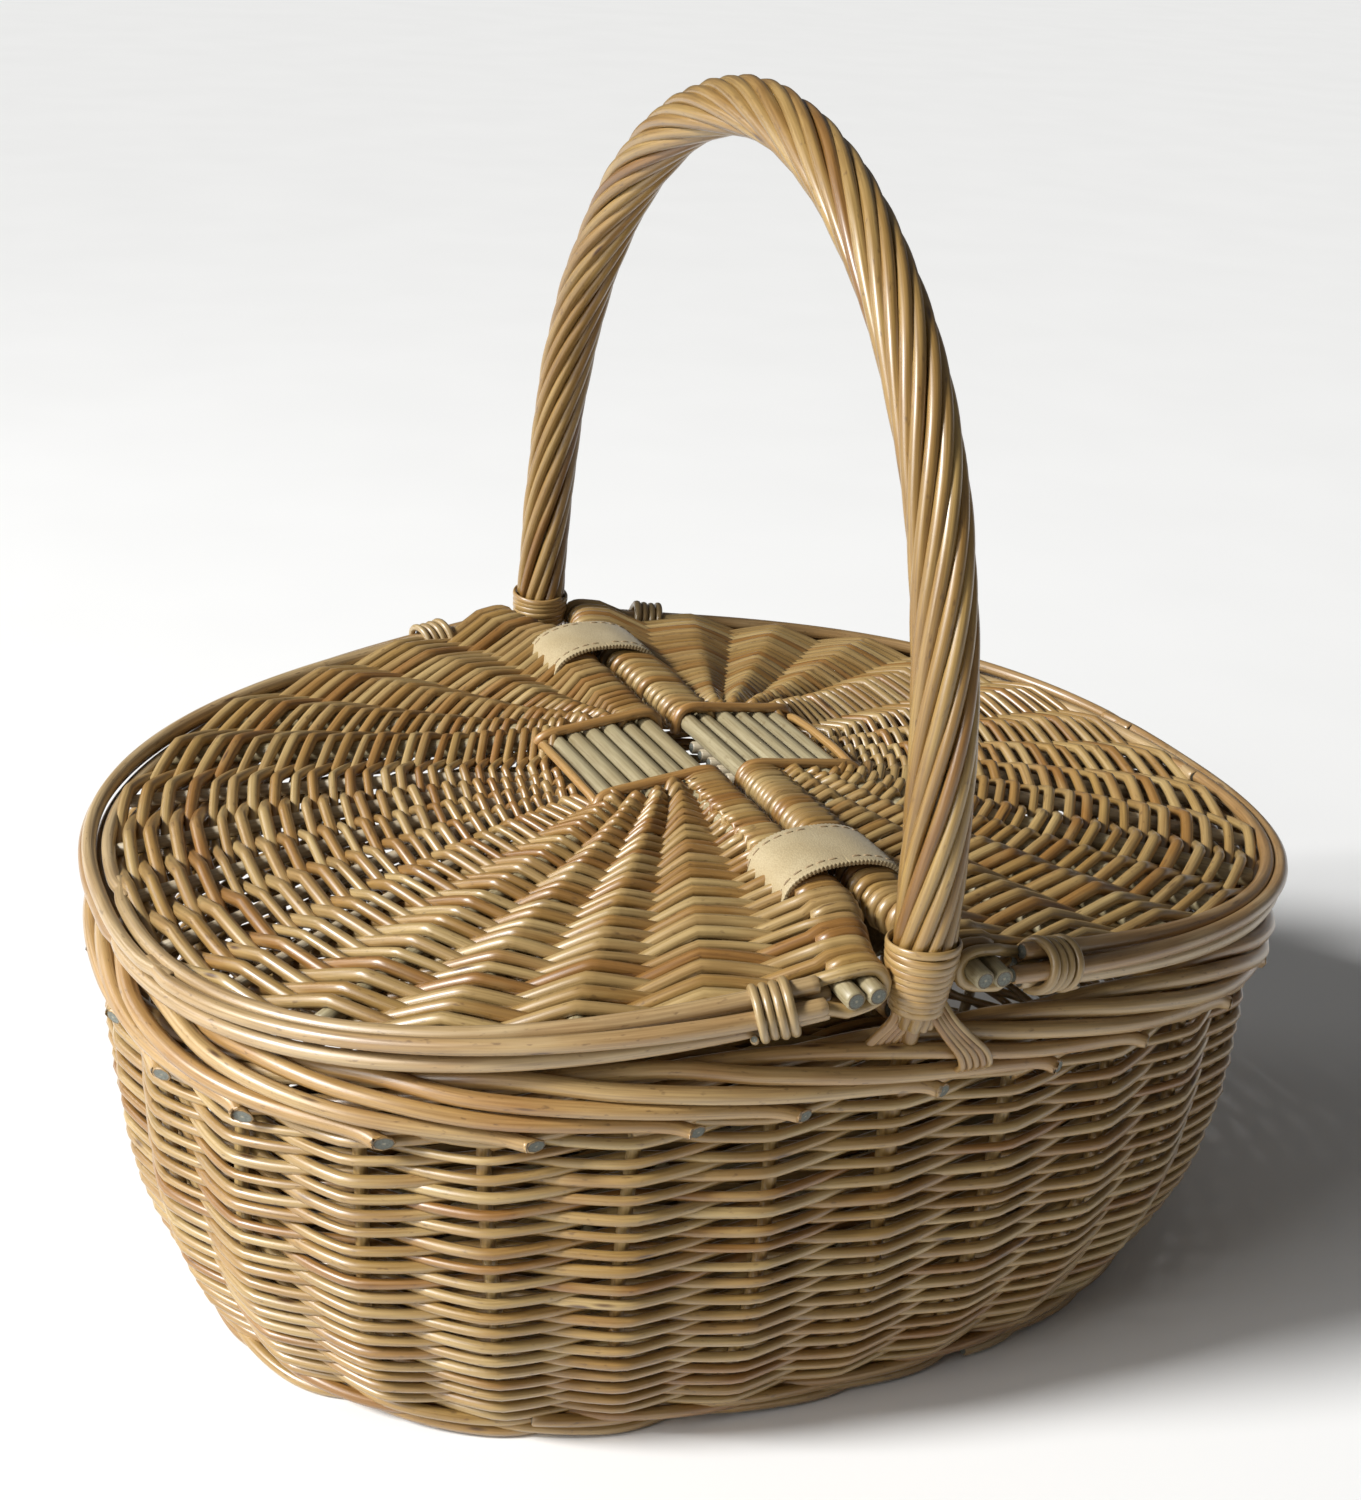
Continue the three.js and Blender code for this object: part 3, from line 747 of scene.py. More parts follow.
@dataclass
class SideWeave:
    """Plain weave of single rods round upright stakes."""

    wall: WallShape
    first_z: float = 14.0
    pitch: float = 3.6
    rows: int = 37
    swing: float = 4.9
    per_gap: int = 10
    stake_radius: float = 2.5
    stake_z: tuple = (7.0, 149.0)
    butt_radius: tuple = (1.65, 2.2)
    seed: int = 11

    def stakes(self) -> RodBundle:
        """The upright stakes from the foot to the border."""
        bundle = RodBundle("side_stakes")
        rng = np.random.default_rng(self.seed)
        for stake in range(self.wall.stakes):
            z = np.linspace(*self.stake_z, 24)
            place_round = np.full_like(z, stake) + 0.05 * np.sin(z / 31 + stake * 2.1)
            line = self.wall.point(place_round, z, np.zeros_like(z))
            bundle.add(Rod(line, self.stake_radius, float(rng.uniform(0.3, 0.9))))
        return bundle

    def row(self, number: int, start: int, gaps: int, rng: np.random.Generator) -> Rod:
        """One rod of a row, woven in front of and behind the stakes.

        Args:
            number: the row, counted from the foot.
            start: stake where it starts, on the inside.
            gaps: stakes it passes.
            rng: source of small differences.

        Returns:
            The rod.
        """
        tail = 0.36
        stake = np.arange(start - tail, start + gaps + tail, 1 / self.per_gap)
        wave = np.cos(np.pi * (stake + number))
        kinked = np.arcsin(np.clip(wave, -1, 1)) * 2 / np.pi
        offset = self.swing * (0.82 * kinked + 0.18 * wave)
        into = np.minimum(smoothstep(0, 1.0, stake - stake[0]), smoothstep(0, 1.0, stake[-1] - stake))
        offset = offset - 1.6 * (1 - into)
        phase = rng.uniform(0, FULL_TURN, 3)
        drift = 0.45 * np.sin(stake * 0.9 + phase[0]) + 0.4 * np.sin(stake * 2.3 + phase[1])
        height = self.first_z + self.pitch * number + drift + 0.5 * (into - 1)
        line = self.wall.point(stake, height, offset)
        butt = rng.uniform(*self.butt_radius)
        radius = butt * np.linspace(1.03, 0.84, len(stake))
        return Rod(line, radius, float(rng.uniform(0, 1)), facing=np.array([0.0, 0.0, 1.0]))

    def rows_between(self, name: str, low: int, high: int) -> RodBundle:
        """Some rows of weave as one bundle.

        Args:
            name: name of the piece.
            low: first row.
            high: row after the last.

        Returns:
            The bundle.
        """
        bundle = RodBundle(name)
        rng = np.random.default_rng(self.seed + low)
        for number in range(low, high):
            start = int(rng.integers(0, self.wall.stakes // 2)) * 2 + (number + 1) % 2
            left = self.wall.stakes
            while left > 0:
                gaps = min(left, int(rng.integers(4, 8)) * 2)
                if left - gaps < 6:
                    gaps = left
                bundle.add(self.row(number, start, gaps, rng))
                start += gaps
                left -= gaps
        return bundle

    def dress(self) -> None:
        """Build the stakes and the rows and give them their finish."""
        middle = self.rows // 2
        lower = self.rows_between("side_weave_lower", 0, middle).build(WOVEN, CUT)
        place(lower, "basket", Slot.WOVEN, "side_weave")
        upper = self.rows_between("side_weave_upper", middle, self.rows).build(WOVEN, CUT)
        place(upper, "basket", Slot.WOVEN)
        place(self.stakes().build(WOVEN, CUT), "basket", Slot.WOVEN)


@dataclass
class FootWale:
    """Two rounds of three-rod wale that the basket stands on."""

    wall: WallShape
    heights: tuple = (4.4, 9.8)
    strands: int = 3
    swing: float = 4.2
    lift: float = 1.6
    radius: float = 2.35

    def dress(self) -> None:
        """Build the rounds and give them their finish."""
        bundle = RodBundle("foot_wale_rods")
        rng = np.random.default_rng(5)
        for height in self.heights:
            for strand in range(self.strands):
                shift = float(rng.uniform(0, self.wall.stakes))
                stake = np.arange(shift, shift + self.wall.stakes + 0.9, 0.1)
                cycle = (stake - strand) * FULL_TURN / self.strands
                offset = 1.1 * self.swing * np.tanh(1 / 3 - 4 / 3 * np.cos(cycle))
                z = height + self.lift * np.sin(cycle)
                low = np.maximum(z, self.wall.base_z)
                line = self.wall.point(stake, low, offset)
                line[:, 2] += z - low
                radius = self.radius * np.linspace(1.04, 0.9, len(stake))
                bundle.add(Rod(line, radius, float(rng.uniform(0, 1)), facing=np.array([0.0, 0.0, 1.0])))
        place(bundle.build(WOVEN, CUT), "basket", Slot.WOVEN, "foot_wale")


@dataclass
class RimBorder:
    """Rolled border: each stake end turns down along six others and ends under the rim."""

    wall: WallShape
    section: tuple = ((0.5, -5.0), (-3.0, 4.0), (-3.4, 12.0), (2.0, 17.4), (8.0, 14.0), (9.3, 7.4),
                      (6.6, 1.0))
    tail: tuple = (9.0, -2.0)
    radius: tuple = (3.55, 2.7)
    per_gap: int = 9

    def dress(self) -> None:
        """Build the border rods and give them their finish."""
        bundle = RodBundle("rim_border_rods")
        rng = np.random.default_rng(23)
        for stake in range(self.wall.stakes):
            gaps = np.arange(len(self.section), dtype=float)
            gaps[1:] += rng.uniform(-0.12, 0.12, len(self.section) - 1)
            rows = [(stake + gap, *where) for gap, where in zip(gaps, self.section)]
            reach = rng.uniform(0.24, 0.4)
            rows.append((stake + gaps[-1] + reach, *self.tail))
            course = smooth_line(np.array(rows), self.per_gap)
            level = np.full(len(course), self.wall.wall_top)
            line = self.wall.point(course[:, 0], level, course[:, 1])
            line[:, 2] += course[:, 2]
            thick = rng.uniform(0.93, 1.06)
            radius = np.linspace(self.radius[0], self.radius[1], len(line)) * thick
            out = line[-1] * np.array([1.0, 1.0, 0.0])
            out = out / np.linalg.norm(out)
            bundle.add(Rod(line, radius, float(rng.uniform(0, 1)), cut_towards=out * 1.2))
        piece = bundle.build(BORDER, CUT)
        place(piece, "basket", Slot.BORDER, "rim_border_outer", "rim_border_inner")


@dataclass
class BasketBase:
    """Flat base: rods woven over and under five short sticks, with three long sticks among them."""

    wall: WallShape
    middle_z: float = 5.8
    short_x: tuple = (-88.0, -44.0, 0.0, 44.0, 88.0)
    long_y: tuple = (-26.0, 0.0, 26.0)
    short_gap: float = 44.0
    short_radius: float = 3.2
    long_radius: float = 2.5
    row_radius: tuple = (2.1, 2.45)
    pitch: float = 4.35
    swing: float = 3.0
    inset: float = 3.0

    def reach(self, across: float, index: int) -> float:
        """Half width of the base at a distance from its middle, along the other way.

        Args:
            across: the distance from the middle.
            index: 0 for the reach along X, 1 for the reach along Y.

        Returns:
            The half width in millimetres.
        """
        half = self.wall.base_half
        share = min(abs(across) / (half[1 - index] - self.inset), 1.0)
        return (half[index] - self.inset) * (1 - share ** self.wall.power) ** (1 / self.wall.power)

    def dress(self) -> None:
        """Build sticks and weave and give them their finish."""
        rng = np.random.default_rng(31)
        sticks = RodBundle("base_sticks")
        for x in self.short_x:
            y = np.linspace(-1, 1, 12) * self.reach(x, 1)
            line = np.stack([np.full_like(y, x), y, np.full_like(y, self.middle_z)], axis=1)
            sticks.add(Rod(line, self.short_radius, float(rng.uniform(0, 1))))
        for y in self.long_y:
            x = np.linspace(-1, 1, 16) * self.reach(y, 0)
            line = np.stack([x, np.full_like(x, y), np.full_like(x, self.middle_z)], axis=1)
            sticks.add(Rod(line, self.long_radius, float(rng.uniform(0, 1))))
        nodes = [f"base_long_stick_{i + 1}" for i in range(len(self.long_y))]
        nodes += [f"base_short_stick_{i + 1}" for i in range(len(self.short_x))]
        place(sticks.build(PEELED, CUT), "basket", Slot.PEELED, *nodes)
        weave = RodBundle("base_weave_rods")
        reach_y = self.wall.base_half[1] - self.inset
        count = int(2 * reach_y / self.pitch)
        for row in range(count):
            y = -reach_y + (row + 0.5) * 2 * reach_y / count
            half = self.reach(y, 0)
            if min(abs(y - stick) for stick in self.long_y) < self.pitch * 0.6:
                continue
            x = np.linspace(-half, half, int(half / 2.2) + 3)
            wave = np.cos(np.pi * (x / self.short_gap + row))
            z = self.middle_z + self.swing * np.sign(wave) * np.abs(wave) ** 0.8
            sway = 0.4 * np.sin(x / 37 + row)
            line = np.stack([x, y + sway, z], axis=1)
            weave.add(Rod(line, float(rng.uniform(*self.row_radius)), float(rng.uniform(0, 1)),
                          facing=np.array([0.0, 0.0, 1.0])))
        place(weave.build(WOVEN, CUT), "basket", Slot.WOVEN, "base_weave")


# ---------------------------------------------------------------- lids

@dataclass
class Lid:
    """Half lid woven round a window of bare sticks, wrapped along its hinge edge."""

    side: Side
    half: tuple = (225.0, 179.0)
    power: float = 2.41
    hinge_x: float = 22.0
    hinge_z: float = 186.0
    tilt: float = 6.9
    edge_x: tuple = (7.7, 15.0)
    edge_end: float = 181.0
    edge_radius: float = 3.45
    edge_z: float = 1.4
    splay_out: float = 10.4
    splay_run: tuple = (129.5, 168.0)
    slath_x: tuple = (22.6, 29.8, 37.0, 44.2)
    slath_radius: float = 3.45
    slath_z: float = 3.0
    cross_y: tuple = (-16.0, -8.0, 0.0, 8.0, 16.0)
    cross_radius: float = 2.4
    cross_z: float = -4.2
    window_y: float = 30.0
    dome: float = 5.0
    window_x: float = 52.0
    rows: int = 50
    row_radius: tuple = (1.72, 2.42)
    late: tuple = (1.0, 6.0, 5.0, 0.0)
    last_row: float = 176.0
    row_growth: float = 0.96
    rib_inset: float = 13.6
    rib_start_x: float = 28.0
    border_inset: float = 6.4
    border_start_x: float = 30.0
    border_points: int = 260
    border_strands: int = 4
    border_radius: float = 2.85
    lashing_turns: float = 4.15
    tie_z: float = 7.6

    def __post_init__(self) -> None:
        """Lay out the ribs that the rows cross."""
        self.rng = np.random.default_rng(41 if self.side is Side.LEFT else 47)
        self.ribs = self.rib_lines()
        rim = self.outline(self.rib_inset, self.rib_start_x, 29)
        self.bulges = [np.zeros(3)] + [rim[2 * gap + 1] - (rim[2 * gap] + rim[2 * gap + 2]) / 2
                                       for gap in range(1, 13)] + [np.zeros(3)]

    def world(self, local: np.ndarray) -> np.ndarray:
        """Move points from the flat lid to the closed lid's place.

        Args:
            local: (n, 3) points: distance from the middle of the basket, y and height.

        Returns:
            (n, 3) points in millimetres.
        """
        sign = self.side.value
        turn = sign * math.radians(self.tilt)
        x = sign * (local[:, 0] - self.hinge_x)
        outward = (np.abs(local[:, :2]) / np.array(self.half)) ** self.power
        z = local[:, 2] + self.dome * np.clip(1 - outward.sum(axis=1), 0, 1)
        cosine, sine = math.cos(turn), math.sin(turn)
        moved = np.empty_like(local)
        moved[:, 0] = x * cosine + z * sine + sign * self.hinge_x
        moved[:, 1] = local[:, 1]
        moved[:, 2] = -x * sine + z * cosine + self.hinge_z
        return moved

    def splay(self, y: np.ndarray) -> np.ndarray:
        """How far the hinge edge stands off near the handle."""
        return self.splay_out * smoothstep(*self.splay_run, np.abs(y))

    def outline(self, inset: float, start_x: float, count: int) -> np.ndarray:
        """The lid's curved edge from the front to the back.

        Args:
            inset: distance inside the outline.
            start_x: where both ends are.
            count: number of points.

        Returns:
            (count, 3) flat points.
        """
        last = math.acos((start_x / self.half[0]) ** (self.power / 2))
        x, y = oval(self.half, self.power, np.linspace(-last, last, 241), -inset)
        return resample(np.stack([x, y, np.zeros_like(x)], axis=1), count)

    def rib_lines(self) -> list:
        """Fifteen lines from the window to the border, with the hinge edge first and last.

        Returns:
            (points, radius) for each.
        """
        ends = self.outline(self.rib_inset, self.rib_start_x, 15)
        count = 40
        run = np.linspace(0, 1, count)
        front = []
        y = -self.window_y - run * (self.last_row - self.window_y)
        middle = sum(self.edge_x) / 2
        front.append(np.stack([middle + self.splay(y), y, np.full(count, self.edge_z)], axis=1))
        for number, x in enumerate(self.slath_x):
            bend = -(40.0 - 2.5 * number)
            knots = np.array([(x, -self.window_y - self.late[number], 0), (x, bend, 0), ends[number + 1]])
            line = resample(knots, count)
            line[:, 2] = self.slath_z * (1 - smoothstep(0.0, 0.3, run))
            front.append(line)
        lines = list(front)
        for number, y in enumerate(self.cross_y):
            knots = np.array([(self.window_x, y, 0), (61.0, y, 0), ends[5 + number]])
            line = resample(knots, count)
            line[:, 2] = (self.cross_z + 2.2) * (1 - smoothstep(0.0, 0.3, run))
            lines.append(line)
        for line in reversed(front):
            lines.append(line * np.array([1.0, -1.0, 1.0]))
        return lines

    def row_share(self, row: float) -> float:
        """How far along the ribs a row lies, rows growing wider outward."""
        step = row / (self.rows - 1)
        return (step + self.row_growth * step * step / 2) / (1 + self.row_growth / 2)

    def edge_share(self, row: float) -> float:
        """Share along the hinge edge for a row, its turns lying close together."""
        return self.row_share(min(max(row, 0.0), self.rows - 1.0))

    def rib_point(self, rib: int, share: float) -> np.ndarray:
        """Point on a rib at a share of its length."""
        line = self.ribs[rib]
        where = share * (len(line) - 1)
        low = min(int(where), len(line) - 2)
        return line[low] + (line[low + 1] - line[low]) * (where - low)

    def rib_radius(self, rib: int) -> float:
        """Radius of a rib."""
        if rib in (0, 14):
            return self.edge_radius
        return self.cross_radius if 5 <= rib <= 9 else self.slath_radius * 0.92

    def row_line(self, row: int, thick: float) -> np.ndarray:
        """One row across the ribs, from the front hinge edge to the back one.

        Args:
            row: which row.
            thick: radius of the rod.

        Returns:
            Points of the row between the two hinge edges.
        """
        share = self.row_share(row)
        steps = np.array([0.0, 0.07, 0.2, 0.4, 0.6, 0.8, 0.93])
        sway = self.rng.uniform(-0.75, 0.75, 15)
        spots = []
        for rib in range(15):
            spot = self.rib_point(rib, min(max(share + sway[rib] / 150, 0), 1)).copy()
            over = 1 if (row + rib) % 2 == 0 else -1
            spots.append((spot, over * (self.rib_radius(rib) + thick * 0.93)))
        points = []
        fullness = share ** 3
        for (low, low_lift), (high, high_lift), bulge in zip(spots, spots[1:], self.bulges):
            for step in steps:
                wave = math.cos(math.pi * step)
                wave = 0.75 * math.asin(wave) * 2 / math.pi + 0.25 * wave
                blend = (1 + wave) / 2
                spot = low + (high - low) * step + bulge * (fullness * 4 * step * (1 - step))
                points.append((spot[0], spot[1], spot[2] + low_lift * blend + high_lift * (1 - blend)))
        return np.array(points[1:])

    def wrap(self, front: bool, row: float, over: bool, thick: float, next_row: float) -> np.ndarray:
        """A turn round the pair of hinge edge sticks.

        Args:
            front: True at the front end of the row.
            row: row it comes from.
            over: True if it crosses on top first.
            thick: radius of the rod.
            next_row: row it goes on to.

        Returns:
            (n, 3) flat points from the outer stick round the inner one and back.
        """
        rib = 0 if front else 14
        start = self.rib_point(rib, self.edge_share(row))
        end = self.rib_point(rib, self.edge_share(next_row))
        reach = self.edge_radius + thick * 0.93
        inner, outer = self.edge_x
        middle = (inner + outer) / 2
        path = [(outer + 1.2, reach * 0.98), (middle, reach), (inner, reach * 0.98),
                (inner - reach * 0.66, reach * 0.74), (inner - reach, 0.0),
                (inner - reach * 0.66, -reach * 0.74), (inner, -reach * 0.98),
                (middle, -reach), (outer + 1.2, -reach * 0.98)]
        flip = 1 if over else -1
        knots = []
        for step, (u, z) in enumerate(path):
            share = step / (len(path) - 1)
            spot = start + (end - start) * share
            knots.append((spot[0] + u - middle, spot[1], spot[2] + flip * z))
        return smooth_line(np.array(knots), 2)

    def weave(self) -> RodBundle:
        """All rows, two to a rod, each turning round the front hinge edge."""
        bundle = RodBundle(f"{self.side.body}_weave", sides=8)
        for row in range(0, self.rows, 2):
            share = self.row_share(row)
            thick = self.row_radius[0] + (self.row_radius[1] - self.row_radius[0]) * share
            thick *= float(self.rng.uniform(0.8, 1.12))
            first = self.row_line(row, thick)
            second = self.row_line(row + 1, thick)
            if row % 4 == 2:
                turn = np.vstack([self.wrap(True, row - 0.55, True, thick, row + 0.1),
                                  self.wrap(True, row + 0.75, True, thick, row + 1.4)])
            else:
                turn = self.wrap(True, row, True, thick, row + 1)
            start = self.wrap(False, row, True, thick, row + 1)
            finish = self.wrap(False, row + 1, False, thick, min(row + 2, self.rows - 1))
            head = start[:12][::-1]
            tail = finish[:8]
            line = np.vstack([head, first[1:-4][::-1], turn, second[3:-4], tail])
            radius = thick * np.linspace(1.02, 0.94, len(line))
            tint = float(self.rng.uniform(0, 1))
            bundle.add(Rod(self.world(line), radius, tint))
        return bundle

    def frame_rods(self) -> None:
        """The pair of hinge edge sticks and the ribs."""
        body = self.side.body
        for label, x in zip(("inner", "outer"), self.edge_x):
            bundle = RodBundle(f"{body}_edge_{label}", sides=12)
            reach = self.edge_end + float(self.rng.uniform(-1.5, 1.0))
            y = np.linspace(-reach, reach, 70)
            line = np.stack([x + self.splay(y), y, np.full_like(y, self.edge_z)], axis=1)
            bundle.add(Rod(self.world(line), self.edge_radius, float(self.rng.uniform(0.2, 0.6))))
            place(bundle.build(PEELED, CUT), body, Slot.PEELED, f"{body}_edge_stick_{label}")
        for number in range(4):
            front, back = self.ribs[number + 1], self.ribs[13 - number]
            window = np.linspace(-self.window_y, self.window_y, 9)[1:-1]
            middle = np.stack([np.full(7, self.slath_x[number]), window, np.full(7, self.slath_z)], axis=1)
            line = np.vstack([front[::-1], middle, back])
            bundle = RodBundle(f"{body}_slath_{number + 1}", sides=12)
            bundle.add(Rod(self.world(line), self.slath_radius, float(self.rng.uniform(0, 1))))
            place(bundle.build(PEELED, CUT), body, Slot.PEELED, f"{body}_slath_stick_{number + 1}")
        for number, y in enumerate(self.cross_y):
            start = np.array([(5.0, y, self.cross_z), (24.5, y, self.cross_z),
                              (46.0, y, self.cross_z + 0.6)])
            line = np.vstack([resample(start, 6), self.ribs[5 + number]])
            bundle = RodBundle(f"{body}_cross_{number + 1}", sides=10)
            bundle.add(Rod(self.world(line), self.cross_radius, float(self.rng.uniform(0, 1))))
            # the cross sticks take the paler peeled finish, painted light against the shade the rows cast
            # on them
            place(bundle.build(PEELED_RIBS_PAINTED_LIGHT, CUT), body, Slot.PEELED, f"{body}_cross_stick_{number + 1}")

    def border(self) -> None:
        """Rods laid along the curved edge, slowly turning round each other."""
        body = self.side.body
        bundle = RodBundle(f"{body}_border_rods", sides=10)
        full = self.outline(self.border_inset, self.border_start_x, self.border_points)
        flat = np.gradient(full, axis=0)
        flat /= np.linalg.norm(flat, axis=1)[:, None]
        outward = np.stack([flat[:, 1], -flat[:, 0], np.zeros(len(flat))], axis=1)
        distance = along(full)
        for strand in range(self.border_strands):
            turn = strand * FULL_TURN / self.border_strands + distance / 260
            turn = turn + 0.3 * np.sin(distance / 71 + strand)
            reach = 4.45 + 0.4 * np.sin(distance / 53 + strand * 2)
            line = full + outward * (reach * np.cos(turn))[:, None]
            line[:, 2] += reach * np.sin(turn) - 0.2
            low = int(self.rng.integers(0, 5))
            high = len(line) - int(self.rng.integers(0, 5))
            joint = int(self.rng.integers(90, 170))
            for first, last in ((low, joint + 8), (joint, high)):
                part = line[first:last].copy()
                steps = np.arange(len(part))
                if first == low:
                    taper = np.linspace(1.08, 0.86, len(part))
                    sink = smoothstep(0, 8, steps[::-1])
                else:
                    taper = np.linspace(0.86, 1.08, len(part))
                    sink = smoothstep(0, 8, steps)
                part -= outward[first:last] * (1.8 * (1 - sink))[:, None]
                tint = float(self.rng.uniform(0, 1))
                bundle.add(Rod(self.world(part), self.border_radius * taper, tint))
        place(bundle.build(LID_BORDER, CUT), body, Slot.BORDER, f"{body}_border")

    def lashings(self) -> None:
        """Close turns of thin rod that bind the border near the hinge edge."""
        body = self.side.body
        full = self.outline(self.border_inset, self.border_start_x, self.border_points)
        distance = along(full)
        for label, flip in (("front", 1), ("back", -1)):
            bundle = RodBundle(f"{body}_lashing_{label}_turns", sides=10)
            steps = np.linspace(0, self.lashing_turns * FULL_TURN, 130)
            lean = 1.7 * np.cos(steps - 2.0)
            ahead = 13.0 + 3.3 * steps / FULL_TURN + lean
            middle = np.stack([np.interp(ahead, distance, full[:, i]) for i in range(3)], axis=1)
            angle = math.atan2(full[16][1] - full[10][1], full[16][0] - full[10][0])
            out = np.array([math.sin(angle), -math.cos(angle), 0.0])
            reach = 7.6 + 0.3 * np.sin(steps * 0.37)
            start = steps - math.pi / 2
            line = middle + out * (reach * np.cos(start))[:, None]
            line[:, 2] += reach * np.sin(start) - 0.2
            line[:, 1] *= flip
            radius = np.linspace(1.75, 1.35, len(line))
            bundle.add(Rod(self.world(line), radius, float(self.rng.uniform(0.3, 1))))
            place(bundle.build(PALE_TIES, CUT), body, Slot.TIE, f"{body}_lashing_{label}")

    def ties(self) -> None:
        """Orange rods laid over the ends of the window."""
        body = self.side.body
        z = self.tie_z
        for label, flip in (("front", -1), ("back", 1)):
            y = flip * (self.window_y - 0.8)
            knots = np.array([(3.0, y, -3.0), (3.6, y, 4.0), (8.0, y, 7.4), (20.0, y, z), (36.0, y, z),
                              (48.0, y + flip * 0.5, z - 0.4), (52.5, y + flip * 2.5, 2.5),
                              (53.5, y + flip * 4, -3.0)])
            bundle = RodBundle(f"{body}_tie_{label}_rod", sides=12)
            bundle.add(Rod(self.world(smooth_line(knots, 6)), 1.9, float(self.rng.uniform(0, 1))))
            place(bundle.build(TIES, CUT), body, Slot.TIE, f"{body}_tie_{label}")
        knots = np.array([(50.0, -30.0, -2.0), (50.4, -27.0, 4.5), (51.0, -15.0, 6.0), (51.0, 0.0, 6.2),
                          (51.0, 15.0, 6.0), (50.4, 27.0, 4.5), (50.0, 30.0, -2.0)])
        bundle = RodBundle(f"{body}_tie_outer_rod", sides=12)
        bundle.add(Rod(self.world(smooth_line(knots, 6)), 1.7, float(self.rng.uniform(0, 1))))
        place(bundle.build(TIES, CUT), body, Slot.TIE, f"{body}_tie_outer")

    def dress(self) -> None:
        """Build every part of the lid."""
        place(self.weave().build(WOVEN, CUT), self.side.body, Slot.WOVEN, f"{self.side.body}_panel")
        self.frame_rods()
        self.border()
        self.lashings()
        self.ties()


# ---------------------------------------------------------------- handle

